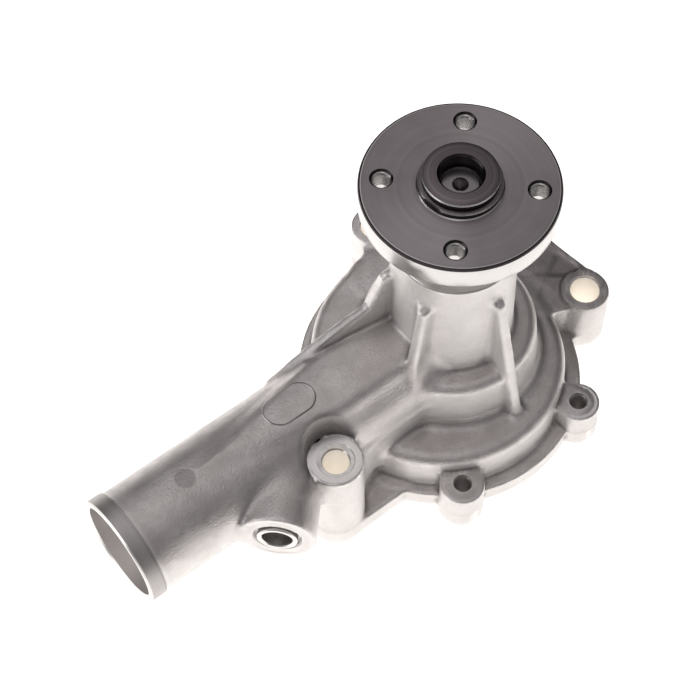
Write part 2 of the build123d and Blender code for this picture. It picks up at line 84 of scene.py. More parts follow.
VOLUTE_START_ANGLE = -14.0
VOLUTE_SWEEPS = (0.0, 142.0, 254.0, 296.0, 360.0)
VOLUTE_RADII = (49.4, 58.84, 58.84, 48.0, 49.4)
LEDGE_SWEEPS = (0.0, 168.0, 254.0, 296.0, 360.0)
LEDGE_RADII = (58.1, 64.15, 64.15, 56.7, 58.1)
VOLUTE_SHOULDER = 5.0
CASTING_WALL = 5.2
DOME_HEIGHTS = (28.0, 32.0, 52.0)
DOME_RADII = (40.6, 38.6, 36.4)
NECK_FOOT_RADIUS = 26.6
NECK_RADIUS = 25.0
RIB_ANGLES = (-156.0, -87.0, 36.0)
RIB_HALF_THICKNESS = 2.3
RIB_TOP_REACH = 29.0
RIB_SLOPE = 0.24
FOOT_FILLET = 3.4
RIPPLE_HEIGHT = 0.035

PIPE_END = HOUSING_LOW.x
PIPE_Z = mount_place("inlet_spigot").z
PIPE_RADIUS = 23.0
PIPE_BORE = 20.6
BAND_RADIUS = mount_radius("inlet_spigot")
BAND_LENGTH = 7.0
FLANK_START = (-70.0, 0.0)
FLANK_END = (-20.0, 0.0)
FLANK_BOTTOM = 18.0
SADDLE_BOTTOM = 40.0
SADDLE_TOP = 64.0
SADDLE_NEAR_EDGE = -13.5
SADDLE_FAR_EDGE = 14.0
SADDLE_TAPER_START = -66.0
SADDLE_TAPER_LENGTH = 62.0
SADDLE_EDGE = 4.5
PORT_DIRECTION = Vector(MOUNTS["side_port"]["axis"]).normalized()
PORT_ROOT = Vector((-82.0, 0.0, mount_place("side_port").z))
PORT_REACH = 47.0
PORT_RADII = (14.2, 15.75)
PORT_BORE = mount_radius("side_port")
PORT_GROOVE_RADIUS = 9.5
PORT_NOSE_RADIUS = 8.25
PORT_NOSE_PROUD = 0.8
PORT_GROOVE_DEPTH = 3.0

PILLAR = mount_place("pillar_bolt_hole")
PILLAR_RADIUS = 11.5
PILLAR_SEAT_RADIUS = 7.6
PILLAR_SEAT_DEPTH = 1.2
RIGHT_LUG = mount_place("right_lug_hole")
REAR_LUG = mount_place("rear_lug_hole")
LUG_RADIUS = 10.4
LUG_RING_RADIUS = 8.6
LEDGE_CORNER = (62.0, -23.0)
LOW_BOSS_MIDDLE = mount_place("low_boss_holes")
LOW_BOSS_HALF_GAP = MOUNTS["low_boss_holes"]["dims"]["spacing_x_mm"] / 2
LEFT_BOSS = LOW_BOSS_MIDDLE - Vector((LOW_BOSS_HALF_GAP, 0, 0))
RIGHT_BOSS = LOW_BOSS_MIDDLE + Vector((LOW_BOSS_HALF_GAP, 0, 0))
LOW_BOSS_RADIUS = 9.0

OUTLET_START = (-1.0, 46.0)
OUTLET_START_RADIUS = 12.6
OUTLET_CORNER = (60.5, 14.0)
OUTLET_CORNER_RADIUS = 9.8
OUTLET_TOP = 27.5
OUTLET_RIM_TOP = 29.0
OUTLET_RIM_BOTTOM = 20.0
OUTLET_RIM_RADIUS = 1.6
OUTLET_RIM_START = (72.4, -12.0)
OUTLET_RIM_END = (68.6, 14.0)

CAVITY_TOP = 21.5
THROAT = (35.0, 10.0)
THROAT_RADIUS = 8.0
EYE_RADIUS = 24.0
CHAMBER_FLOOR = 27.6
CHAMBER_TOP = 47.0
CHAMBER_RADIUS = 32.0
PASSAGE_RADIUS = 13.8
PASSAGE_Z = 43.0
PASSAGE_STEP = (-107.0, -90.0)
PASSAGE_END = -28.0
SEAL_BORE = 18.25
BEARING_BORE = node_box("bearing_outer_race")[1].x
BEARING_BOTTOM = node_box("bearing_outer_race")[0].z

GRID_STEP = 1.25


# ---------------- distance fields
def join(a, b, soft=0.0):
    """Union of two distance fields, with a fillet about as wide as soft."""
    if soft <= 0:
        return np.minimum(a, b)
    overlap = np.maximum(soft - np.abs(a - b), 0) / soft
    return np.minimum(a, b) - overlap * overlap * soft / 4


def meet(a, b, soft=0.0):
    """The space inside both fields."""
    return -join(-a, -b, soft)


def carve(a, b, soft=0.0):
    """The first field with the second taken out of it."""
    return meet(a, -b, soft)


def disc(x, y, centre, radius):
    """Plan distance to a circle."""
    return np.hypot(x - centre[0], y - centre[1]) - radius


def link(x, y, first, first_radius, second, second_radius):
    """Plan distance to a bar with round ends, from one circle to another."""
    along_x, along_y = second[0] - first[0], second[1] - first[1]
    squared = along_x * along_x + along_y * along_y
    share = np.clip(((x - first[0]) * along_x + (y - first[1]) * along_y) / squared, 0, 1)
    away = np.hypot(x - first[0] - share * along_x, y - first[1] - share * along_y)
    return away - first_radius - (second_radius - first_radius) * share


def prism(plan, upright, edge=0.0):
    """A plan distance kept to a band of another distance, with a true radius on the edge."""
    a, b = plan + edge, upright + edge
    return np.minimum(np.maximum(a, b), 0) + np.hypot(np.maximum(a, 0), np.maximum(b, 0)) - edge


def at_angle(angle, radius):
    """A plan position at an angle and a radius from the shaft axis."""
    return (radius * math.cos(math.radians(angle)), radius * math.sin(math.radians(angle)))


def spiral(x, y, sweeps, radii, inset=0.0):
    """Plan distance to the volute outline whose radius depends on the sweep angle."""
    sweep = (VOLUTE_START_ANGLE - np.degrees(np.arctan2(y, x))) % 360
    return np.hypot(x, y) - np.interp(sweep, sweeps, radii) + inset


def post(x, y, z, centre, radius, top, edge=1.0, draft=0.008):
    """A round boss standing on the mounting plane."""
    return prism(disc(x, y, centre, radius) - (top - z) * draft, z - top, edge)


def web(x, y, z, first, first_radius, second, second_radius, top, edge=1.5):
    """An upright web between two circles in plan."""
    return prism(link(x, y, first, first_radius, second, second_radius), z - top, edge)


def volute(x, y, z):
    """The spiral casing on its wider mounting plate."""
    wall = spiral(x, y, VOLUTE_SWEEPS, VOLUTE_RADII) - (12 - z) * 0.02
    body = prism(wall, z - DECK, VOLUTE_SHOULDER)
    plate = prism(spiral(x, y, LEDGE_SWEEPS, LEDGE_RADII), z - LEDGE_TOP, 1.2)
    return join(body, plate, 3.0)


def dome_and_neck(x, y, z):
    """The suction dome and the bearing neck."""
    radial = np.hypot(x, y)
    dome = prism(radial - np.interp(z, DOME_HEIGHTS, DOME_RADII), z - DOME_TOP, 4.2)
    height = np.clip((z - DOME_TOP) / (NECK_TOP - DOME_TOP), 0, 1)
    neck = meet(radial - NECK_FOOT_RADIUS + (NECK_FOOT_RADIUS - NECK_RADIUS) * height, z - NECK_TOP + 0.3)
    return dome, neck


def rib(x, y, z, angle):
    """One gusset from the neck down over the dome to the deck."""
    cosine, sine = math.cos(math.radians(angle)), math.sin(math.radians(angle))
    out = x * cosine + y * sine
    across = np.abs(y * cosine - x * sine)
    lean = 1 / math.hypot(1, RIB_SLOPE)
    edge = (out - RIB_TOP_REACH - (RIB_TOP - 1 - z) * RIB_SLOPE) * lean
    outline = meet(meet(edge, z - RIB_TOP, 1.5), -out)
    return meet(outline, across - RIB_HALF_THICKNESS - (RIB_TOP - z) * 0.006, 2.2)


def inlet_pipe(x, y, z):
    """The pipe, its flat saddle, and the flanks that carry it down to the casing."""
    pipe = meet(np.hypot(y, z - PIPE_Z) - PIPE_RADIUS, np.maximum(PIPE_END + BAND_LENGTH + 0.4 - x, x + 19))
    flank = prism(link(x, y, FLANK_START, PIPE_RADIUS, FLANK_END, PIPE_RADIUS),
                  np.maximum(z - PIPE_Z, FLANK_BOTTOM - z), 1.0)
    narrowing = np.clip((SADDLE_TAPER_START - x) / SADDLE_TAPER_LENGTH, 0, 1)
    width = np.maximum(SADDLE_NEAR_EDGE * (1 - narrowing) - y, y - SADDLE_FAR_EDGE * (1 - narrowing))
    length = np.maximum(SADDLE_TAPER_START - SADDLE_TAPER_LENGTH - x, x - FLANK_END[0])
    saddle = prism(np.maximum(width, length), np.maximum(z - SADDLE_TOP, SADDLE_BOTTOM - z), SADDLE_EDGE)
    return join(join(pipe, flank, 3.0), saddle, 5.0)


SPINE_START = (-22.0, 9.4)
SPINE_SLOPE = 0.15
SPINE_HALF_THICKNESS = 2.0
SPINE_REACH = (-2.0, 4.0, 6.0, 12.2, 14.4, 26.0, 39.0, 48.0, 58.0)
SPINE_TOPS = (RIB_TOP, RIB_TOP, 92.5, 77.0, 75.4, 70.6, 63.8, 58.6, 51.0)
SPINE_BOTTOM = 50.0


def spine(x, y, z):
    """The thin rib along the pipe's far edge, sweeping up the neck."""
    scale = 1 / math.hypot(1, SPINE_SLOPE)
    along = ((SPINE_START[0] - x) + SPINE_SLOPE * (y - SPINE_START[1])) * scale
    across = ((y - SPINE_START[1]) + SPINE_SLOPE * (x - SPINE_START[0])) * scale
    top = np.interp(along, SPINE_REACH, SPINE_TOPS)
    outline = meet((z - top) * 0.75, np.maximum(SPINE_REACH[0] - along, along - SPINE_REACH[-1]))
    plate = np.abs(across - SPINE_HALF_THICKNESS) - SPINE_HALF_THICKNESS - (RIB_TOP - z) * 0.01
    return meet(meet(outline, plate, 2.0), SPINE_BOTTOM - z)


def port_frame(x, y, z):
    """Distance along the side port from its root, and distance from its axis."""
    along = (x - PORT_ROOT.x) * PORT_DIRECTION.x + (y - PORT_ROOT.y) * PORT_DIRECTION.y
    across = (x - PORT_ROOT.x) * -PORT_DIRECTION.y + (y - PORT_ROOT.y) * PORT_DIRECTION.x
    return along, np.hypot(across, z - PORT_ROOT.z)


def side_port(x, y, z):
    """The stub at 45 degrees to the pipe, a little wider at its mouth."""
    along, away = port_frame(x, y, z)
    taper = (PORT_RADII[1] - PORT_RADII[0]) / PORT_REACH
    return prism(away - PORT_RADII[0] - along * taper, np.maximum(along - PORT_REACH, -along), 0.7)


def bosses(x, y, z):
    """The pillar, the lugs and the low bosses, with their webs; each is a field and its fillet."""
    left, right = (LEFT_BOSS.x, LEFT_BOSS.y), (RIGHT_BOSS.x, RIGHT_BOSS.y)
    pillar, lug, rear = (PILLAR.x, PILLAR.y), (RIGHT_LUG.x, RIGHT_LUG.y), (REAR_LUG.x, REAR_LUG.y)
    return [
        (post(x, y, z, pillar, PILLAR_RADIUS, PILLAR_TOP, 0.6), 2.5),
        (web(x, y, z, pillar, PILLAR_RADIUS + 0.3, (-50, PILLAR.y), PILLAR_RADIUS + 0.3, LEDGE_TOP), 2.0),
        (web(x, y, z, pillar, 6.0, (-52, -8), 12.0, 40.0), 4.0),
        (post(x, y, z, left, LOW_BOSS_RADIUS, LOW_BOSS_TOP, 0.6), 1.5),
        (web(x, y, z, left, LOW_BOSS_RADIUS + 0.3, at_angle(-122.9, 50), 11.5, LEDGE_TOP), 1.5),
        (web(x, y, z, left, LOW_BOSS_RADIUS - 0.2, at_angle(-122.9, 46), LOW_BOSS_RADIUS - 0.2,
             LOW_BOSS_TOP - 0.2), 1.5),
        (post(x, y, z, right, LOW_BOSS_RADIUS, LOW_BOSS_TOP, 0.6), 1.5),
        (web(x, y, z, right, LOW_BOSS_RADIUS + 0.3, at_angle(-60, 48), 12.0, LEDGE_TOP), 1.5),
        (web(x, y, z, right, 6.0, at_angle(-60, 42), 9.0, LOW_BOSS_TOP - 0.2), 2.0),
        (web(x, y, z, LEDGE_CORNER, 1.5, at_angle(-8, 40), 16.0, LEDGE_TOP), 2.0),
        (web(x, y, z, lug, LUG_RADIUS - 0.3, OUTLET_CORNER, OUTLET_CORNER_RADIUS, OUTLET_TOP, 1.2), 2.5),
        (web(x, y, z, lug, 7.0, at_angle(4, 36), 12.0, OUTLET_TOP, 1.2), 3.0),
        (web(x, y, z, OUTLET_CORNER, OUTLET_CORNER_RADIUS, at_angle(4, 36), 12.0, OUTLET_TOP, 1.2), 2.0),
        (web(x, y, z, OUTLET_CORNER, OUTLET_CORNER_RADIUS, OUTLET_START, OUTLET_START_RADIUS, OUTLET_TOP,
             1.6), 3.0),
        (prism(link(x, y, OUTLET_RIM_START, OUTLET_RIM_RADIUS, OUTLET_RIM_END, OUTLET_RIM_RADIUS),
               np.maximum(z - OUTLET_RIM_TOP, OUTLET_RIM_BOTTOM - z), 0.8), 1.6),
        (post(x, y, z, lug, LUG_RADIUS, LUG_TOP, 0.6), 2.0),
        (web(x, y, z, rear, LUG_RADIUS + 0.3, at_angle(84, 42), 15.0, LEDGE_TOP), 2.0),
        (web(x, y, z, rear, 7.0, at_angle(86, 40), 12.0, DECK, 2.0), 3.0),
        (post(x, y, z, rear, LUG_RADIUS, LUG_TOP, 0.6), 2.0),
    ]


def castings(x, y, z):
    """The outside of the casting before any machining."""
    dome, neck = dome_and_neck(x, y, z)
    body = join(volute(x, y, z), dome, FOOT_FILLET)
    for boss, fillet in bosses(x, y, z):
        body = join(body, boss, fillet)
    body = join(body, inlet_pipe(x, y, z), 4.0)
    body = join(body, side_port(x, y, z), 4.0)
    body = join(body, neck, FOOT_FILLET)
    for angle in RIB_ANGLES:
        body = join(body, rib(x, y, z, angle), FOOT_FILLET)
    body = join(body, spine(x, y, z), 3.0)
    broad = np.sin(x * 0.21 + 1.3) * np.sin(y * 0.17 + 0.4)
    short = np.sin(y * 0.31 + z * 0.23) * np.sin(x * 0.11 - z * 0.19)
    return body + (broad + short) * RIPPLE_HEIGHT


def cores(x, y, z):
    """The water passages that sand cores leave."""
    cavity = prism(spiral(x, y, VOLUTE_SWEEPS, VOLUTE_RADII, CASTING_WALL), z - CAVITY_TOP, 3.0)
    outlet = web(x, y, z, OUTLET_CORNER, OUTLET_CORNER_RADIUS - CASTING_WALL, OUTLET_START,
                 OUTLET_START_RADIUS - CASTING_WALL, CAVITY_TOP - 1.5)
    throat = web(x, y, z, OUTLET_CORNER, OUTLET_CORNER_RADIUS - CASTING_WALL, THROAT, THROAT_RADIUS,
                 CAVITY_TOP - 1.5)
    eye = prism(np.hypot(x, y) - EYE_RADIUS, np.maximum(z - CHAMBER_FLOOR - 3, CAVITY_TOP - 3 - z))
    chamber = prism(np.hypot(x, y) - CHAMBER_RADIUS, np.maximum(z - CHAMBER_TOP, CHAMBER_FLOOR - z), 2.0)
    reach = np.interp(x, PASSAGE_STEP, (0.0, 1.0))
    middle = PIPE_Z + (PASSAGE_Z - PIPE_Z) * reach
    passage = np.hypot(y, z - middle) - PIPE_BORE + (PIPE_BORE - PASSAGE_RADIUS) * reach
    passage = meet(passage, x - PASSAGE_END)
    return join(join(join(join(cavity, outlet, 2.0), throat, 2.0), join(eye, chamber)), passage, 1.5)


def housing(x, y, z):
    """The finished casting: outside, cores, and the plain machined cuts."""
    body = carve(castings(x, y, z), cores(x, y, z), 1.0)
    radial = np.hypot(x, y)
    body = carve(body, prism(radial - SEAL_BORE, np.maximum(z - BEARING_BOTTOM - 1, CHAMBER_TOP - 4 - z)))
    body = carve(body, meet(radial - BEARING_BORE - 0.02, BEARING_BOTTOM - z))
    along, away = port_frame(x, y, z)
    body = carve(body, meet(away - PORT_BORE - SEAT_WALL, 10 - along))
    groove_floor = PORT_REACH - PORT_GROOVE_DEPTH - 0.4
    body = carve(body, meet(away - PORT_GROOVE_RADIUS - SEAT_WALL, groove_floor - along))
    above_pillar = meet(disc(x, y, PILLAR, PILLAR_RADIUS + 0.1) - (z - PILLAR_TOP) * 0.15, PILLAR_TOP - z)
    body = carve(body, above_pillar, 2.0)
    for place, radius, top in SEATS:
        body = carve(body, meet(disc(x, y, place, radius), z - top - 5))
    return meet(body, -z)


# ---------------- bolt seats: place, hole radius, top
SEAT_WALL = 0.45
SEATS = [(place, mount_radius(name) + SEAT_WALL, top) for place, name, top in (
    (PILLAR, "pillar_bolt_hole", PILLAR_TOP), (RIGHT_LUG, "right_lug_hole", LUG_TOP),
    (REAR_LUG, "rear_lug_hole", LUG_TOP), (LEFT_BOSS, "low_boss_holes", LOW_BOSS_TOP),
    (RIGHT_BOSS, "low_boss_holes", LOW_BOSS_TOP))]


# ---------------- dual contouring
def slope(field, points, reach=0.02):
    """Unit gradient of a field at many points."""
    x, y, z = points.T
    out = np.empty_like(points)
    out[:, 0] = field(x + reach, y, z) - field(x - reach, y, z)
    out[:, 1] = field(x, y + reach, z) - field(x, y - reach, z)
    out[:, 2] = field(x, y, z + reach) - field(x, y, z - reach)
    return out / np.maximum(np.linalg.norm(out, axis=1), 1e-12)[:, None]


def crossings(field, start, end, start_value, end_value, rounds=7):
    """Where the field passes zero on each segment from start to end, by false position."""
    low, high = np.zeros(len(start)), np.ones(len(start))
    low_value, high_value = start_value.astype(float), end_value.astype(float)
    share = low_value / (low_value - high_value)
    for turn in range(rounds):
        points = start + (end - start) * share[:, None]
        value = field(*points.T)
        same = (value < 0) == (low_value < 0)
        low = np.where(same, share, low)
        high = np.where(same, high, share)
        low_value = np.where(same, value, low_value)
        high_value = np.where(same, high_value, value)
        secant = low + (high - low) * low_value / (low_value - high_value)
        share = (low + high) / 2 if turn % 3 == 1 else secant
    return start + (end - start) * share[:, None]


def contour(field, low, high, step):
    """A closed quad mesh of a field's zero surface that keeps its sharp edges (dual contouring)."""
    axes = [np.arange(a, b + step, step) for a, b in zip(low, high)]
    grid = np.ix_(*axes)
    values = np.broadcast_to(field(*grid), [len(a) for a in axes])
    inside = values < 0
    cells = [len(a) - 1 for a in axes]
    quads, owners, hits = [], [], []
    for axis in range(3):
        first = [slice(1, -1)] * 3
        second = [slice(1, -1)] * 3
        first[axis], second[axis] = slice(0, -1), slice(1, None)
        changed = np.argwhere(inside[tuple(first)] != inside[tuple(second)])
        offset = np.ones(3, int)
        offset[axis] = 0
        begin = changed + offset
        finish = begin.copy()
        finish[:, axis] += 1
        ends = [np.stack([axes[k][index[:, k]] for k in range(3)], 1) for index in (begin, finish)]
        ends_value = [values[tuple(index.T)] for index in (begin, finish)]
        hits.append(crossings(field, ends[0], ends[1], ends_value[0], ends_value[1]))
        u, v = (axis + 1) % 3, (axis + 2) % 3
        corners = []
        for back_u, back_v in ((1, 1), (0, 1), (0, 0), (1, 0)):
            cell = begin.copy()
            cell[:, u] -= back_u
            cell[:, v] -= back_v
            corners.append(np.ravel_multi_index(tuple(cell.T), cells))
        quad = np.stack(corners, 1)
        entering = ends_value[0] >= 0
        quad[entering] = quad[entering][:, ::-1]
        quads.append(quad)
        owners.append(np.stack(corners, 1))
    quads, owners, hits = np.concatenate(quads), np.concatenate(owners), np.concatenate(hits)
    normals = slope(field, hits)
    used, owner = np.unique(owners.ravel(), return_inverse=True)
    owner = owner.reshape(-1)
    count = np.bincount(owner).astype(float)
    points = np.repeat(hits, 4, axis=0)
    normal = np.repeat(normals, 4, axis=0)
    middle = np.stack([np.bincount(owner, points[:, k]) for k in range(3)], 1) / count[:, None]
    distance = ((points - middle[owner]) * normal).sum(1)
    matrix = np.empty((len(used), 3, 3))
    vector = np.empty((len(used), 3))
    for row in range(3):
        vector[:, row] = np.bincount(owner, normal[:, row] * distance)
        for column in range(3):
            matrix[:, row, column] = np.bincount(owner, normal[:, row] * normal[:, column])
    matrix += np.eye(3) * (0.03 * count)[:, None, None]
    vertices = middle + np.linalg.solve(matrix, vector[:, :, None])[:, :, 0]
    index = np.stack(np.unravel_index(used, cells), 1)
    floor = np.stack([axes[k][index[:, k]] for k in range(3)], 1)
    vertices = np.clip(vertices, floor, floor + step)
    return vertices, np.searchsorted(used, quads)


# ---------------- meshes
CORNER_ANGLE = 24.0


def add_mesh(name, vertices, faces):
    """A mesh object from millimetre points, in metres in the shared frame."""
    mesh = bpy.data.meshes.new(name)
    mesh.from_pydata((np.asarray(vertices, float) * MM).tolist(), [], [list(face) for face in faces])
    mesh.update()
    thing = bpy.data.objects.new(name, mesh)
    bpy.context.scene.collection.objects.link(thing)
    return thing


def face_centres(mesh):
    """Face centres and normals, in millimetres."""
    centres = np.empty(len(mesh.polygons) * 3)
    normals = np.empty(len(mesh.polygons) * 3)
    mesh.polygons.foreach_get("center", centres)
    mesh.polygons.foreach_get("normal", normals)
    return centres.reshape(-1, 3) / MM, normals.reshape(-1, 3)


def true_normals(mesh, field):
    """Takes the shading normals from the field itself, so round surfaces shade as round."""
    loops = np.empty(len(mesh.loops), np.int32)
    mesh.loops.foreach_get("vertex_index", loops)
    totals = np.empty(len(mesh.polygons), np.int32)
    mesh.polygons.foreach_get("loop_total", totals)
    points = np.empty(len(mesh.vertices) * 3)
    mesh.vertices.foreach_get("co", points)
    points = points.reshape(-1, 3) / MM
    centres, normals = face_centres(mesh)
    centres = np.repeat(centres, totals, axis=0)
    inner = points[loops] + (centres - points[loops]) * 0.25
    shading = slope(field, inner)
    flat = np.repeat(normals, totals, axis=0)
    away = (shading * flat).sum(1) < 0.3
    shading[away] = flat[away]
    mesh.normals_split_custom_set(shading.tolist())


def revolved(name, profile, place, axis, segments=160, closed=True):
    """A turned piece: (radius, height) corners swept round an axis through a place."""
    rings = len(profile)
    angles = np.linspace(0, 2 * math.pi, segments, endpoint=False)
    radii = np.array([corner[0] for corner in profile])
    heights = np.array([corner[1] for corner in profile])
    points = np.stack([
        np.outer(radii, np.cos(angles)), np.outer(radii, np.sin(angles)),
        np.repeat(heights[:, None], segments, 1)], 2).reshape(-1, 3)
    turn = Vector((0, 0, 1)).rotation_difference(Vector(axis)).to_matrix()
    points = points @ np.array(turn).T + np.array(place)
    faces = []
    for ring in range(rings if closed else rings - 1):
        following = (ring + 1) % rings
        for step in range(segments):
            beside = (step + 1) % segments
            faces.append((ring * segments + step, following * segments + step,
                          following * segments + beside, ring * segments + beside))
    thing = add_mesh(name, points, faces)
    radius = thing.data.attributes.new("turn_radius", "FLOAT", "POINT")
    radius.data.foreach_set("value", np.repeat(radii, segments))
    return thing


def tidy_turned(thing):
    """Makes the faces point outward and shades the piece smooth between its corners."""
    mesh = thing.data
    work = bmesh.new()
    work.from_mesh(mesh)
    bmesh.ops.recalc_face_normals(work, faces=work.faces)
    work.to_mesh(mesh)
    work.free()
    mesh.shade_smooth()
    mesh.set_sharp_from_angle(angle=math.radians(CORNER_ANGLE))
    return thing


def joined(name, pieces):
    """Several meshes made one piece."""
    work = bmesh.new()
    for piece in pieces:
        work.from_mesh(piece.data)
    mesh = bpy.data.meshes.new(name)
    work.to_mesh(mesh)
    work.free()
    for piece in pieces:
        bpy.data.objects.remove(piece)
    thing = bpy.data.objects.new(name, mesh)
    bpy.context.scene.collection.objects.link(thing)
    return thing


def cut(thing, tool):
    """Takes a closed tool mesh out of a closed piece."""
    change = thing.modifiers.new("cut", "BOOLEAN")
    change.operation = "DIFFERENCE"
    change.solver = "EXACT"
    change.object = tool
    evaluated = thing.evaluated_get(bpy.context.evaluated_depsgraph_get())
    mesh = bpy.data.meshes.new_from_object(evaluated)
    thing.modifiers.clear()
    thing.data = mesh
    bpy.data.objects.remove(tool)


# ---------------- materials
class Tree:
    """A short way to write a node tree."""

    def __init__(self, tree):
        self.tree = tree

    def add(self, kind, inputs=(), **settings):
        """A node with its settings and inputs; an input is a value or another node's output."""
        node = self.tree.nodes.new(kind)
        for key, value in settings.items():
            setattr(node, key, value)
        for key, value in dict(inputs).items():
            self.put(node.inputs[key], value)
        return node

    def put(self, socket, value):
        """Links an output to a socket, or sets the socket's value."""
        if isinstance(value, bpy.types.NodeSocket):
            self.tree.links.new(value, socket)
        else:
            socket.default_value = value

    def noise(self, vector, size_mm, detail=4.0, rough=0.55):
        """Noise whose grains are about size_mm across."""
        node = self.add("ShaderNodeTexNoise", {
            "Vector": vector, "Scale": 1 / (size_mm * MM), "Detail": detail, "Roughness": rough})
        return node.outputs["Fac"]

    def math(self, operation, first, second=0.0, third=0.0):
        """A Math node's result."""
        node = self.add("ShaderNodeMath", {0: first, 1: second, 2: third}, operation=operation)
        return node.outputs[0]

    def span(self, value, low, high, to_low=0.0, to_high=1.0):
        """A value remapped from one range to another, kept inside it."""
        node = self.add("ShaderNodeMapRange", {
            "Value": value, "From Min": low, "From Max": high, "To Min": to_low, "To Max": to_high})
        return node.outputs["Result"]

    def blend(self, share, first, second):
        """A mix of two colours."""
        node = self.add("ShaderNodeMix", data_type="RGBA")
        self.put(node.inputs[0], share)
        self.put(node.inputs[6], first)
        self.put(node.inputs[7], second)
        return node.outputs[2]


class Nodes(Tree):
    """A new material and its node tree."""

    def __init__(self, name):
        self.material = bpy.data.materials.new(name)
        self.material.use_nodes = True
        super().__init__(self.material.node_tree)
        self.shader = self.tree.nodes["Principled BSDF"]

    def place(self):
        """The piece's own coordinates, in metres."""
        return self.add("ShaderNodeTexCoord").outputs["Object"]

    def bump(self, height, depth_mm, strength=1.0, normal=None):
        """A bump from a height field of 0 to 1, depth_mm deep."""
        inputs = {"Height": height, "Distance": depth_mm * MM, "Strength": strength}
        if normal is not None:
            inputs["Normal"] = normal
        return self.add("ShaderNodeBump", inputs).outputs["Normal"]

    def finish(self, colour, roughness, normal, **fixed):
        """Wires the shader and sets the values that are the same all over."""
        self.put(self.shader.inputs["Base Color"], colour)
        self.put(self.shader.inputs["Roughness"], roughness)
        self.put(self.shader.inputs["Normal"], normal)
        for key, value in fixed.items():
            self.shader.inputs[key.replace("_", " ")].default_value = value
        return self.material


def tone(red, green, blue):
    """An opaque colour."""
    return (red, green, blue, 1.0)


# Dark tone of the painted shade in creases and on up-facing faces towards +x, and of the saddle's outline
# line.
SHADE_AND_LINE_TONE = tone(0.16, 0.14, 0.14)
# Near-white tone of the painted highlight on the cast walls.
PAINTED_WALL_HIGHLIGHT_TONE = tone(0.93, 0.91, 0.89)
WORN_TONE = tone(0.90, 0.88, 0.87)
# Range along x, in metres, over which the painted shade on up-facing faces builds up.
TOP_SHADE_X_REACH = (0.015, 0.060)
MARK_RADIUS = 4.8
MARK_MIDDLE = (-0.1345, 0.0, (PIPE_Z + PIPE_RADIUS) * MM)
OUTLINE_MIDDLE = (-82.6, 1.4)
OUTLINE_HALF_LENGTH = 4.5
OUTLINE_RADIUS = 7.0
OUTLINE_DEPTH = 0.35
# Width of the painted shade round the pillar's top, in millimetres.
PILLAR_SHADE_WIDTH = 4.1


def marks_and_pillar_shade(n, place, colour, normal):
    """The round mark on the pipe, painted shade round the pillar's top, and the saddle's faint outline."""
    away = n.add("ShaderNodeVectorMath", {0: place, 1: MARK_MIDDLE}, operation="DISTANCE").outputs["Value"]
    in_mark = n.span(away, (MARK_RADIUS - 1) * MM, MARK_RADIUS * MM, 0.45, 0.0)
    colour = n.blend(in_mark, colour, tone(0.20, 0.18, 0.18))

    x, y, z = n.add("ShaderNodeSeparateXYZ", {0: place}).outputs
    in_plan = n.add("ShaderNodeCombineXYZ", {"X": x, "Y": y, "Z": 0.0}).outputs[0]
    # Painted shade: a dark band just outside the pillar's top, fading out over a few millimetres, above the
    # top only.
    axis = (PILLAR.x * MM, PILLAR.y * MM, 0.0)
    from_pillar = n.add("ShaderNodeVectorMath", {0: in_plan, 1: axis}, operation="DISTANCE").outputs["Value"]
    start = PILLAR_RADIUS + 0.4
    pillar_shade = n.span(from_pillar, start * MM, (start + PILLAR_SHADE_WIDTH) * MM, 0.85, 0.0)
    above_top = n.span(z, PILLAR_TOP * MM, (PILLAR_TOP + 0.8) * MM)
    colour = n.blend(n.math("MULTIPLY", pillar_shade, above_top), colour, tone(0.07, 0.062, 0.062))

    along = n.math("ABSOLUTE", n.math("SUBTRACT", x, OUTLINE_MIDDLE[0] * MM))
    past_end = n.math("MAXIMUM", n.math("SUBTRACT", along, OUTLINE_HALF_LENGTH * MM), 0.0)
    beside = n.math("SUBTRACT", y, OUTLINE_MIDDLE[1] * MM)
    squares = n.math("ADD", n.math("MULTIPLY", past_end, past_end), n.math("MULTIPLY", beside, beside))
    off_line = n.math("ABSOLUTE", n.math("SUBTRACT", n.math("SQRT", squares), OUTLINE_RADIUS * MM))
    on_saddle = n.span(z, (SADDLE_TOP - 2) * MM, (SADDLE_TOP - 1) * MM)
    line = n.math("MULTIPLY", n.span(off_line, 0.05 * MM, 0.35 * MM, 1.0, 0.0), on_saddle)
    fading = n.span(x, (OUTLINE_MIDDLE[0] - 6) * MM, (OUTLINE_MIDDLE[0] + 6) * MM, 0.25, 0.75)
    colour = n.blend(n.math("MULTIPLY", line, fading), colour, SHADE_AND_LINE_TONE)
    return colour, n.bump(line, OUTLINE_DEPTH, 1.0, normal)


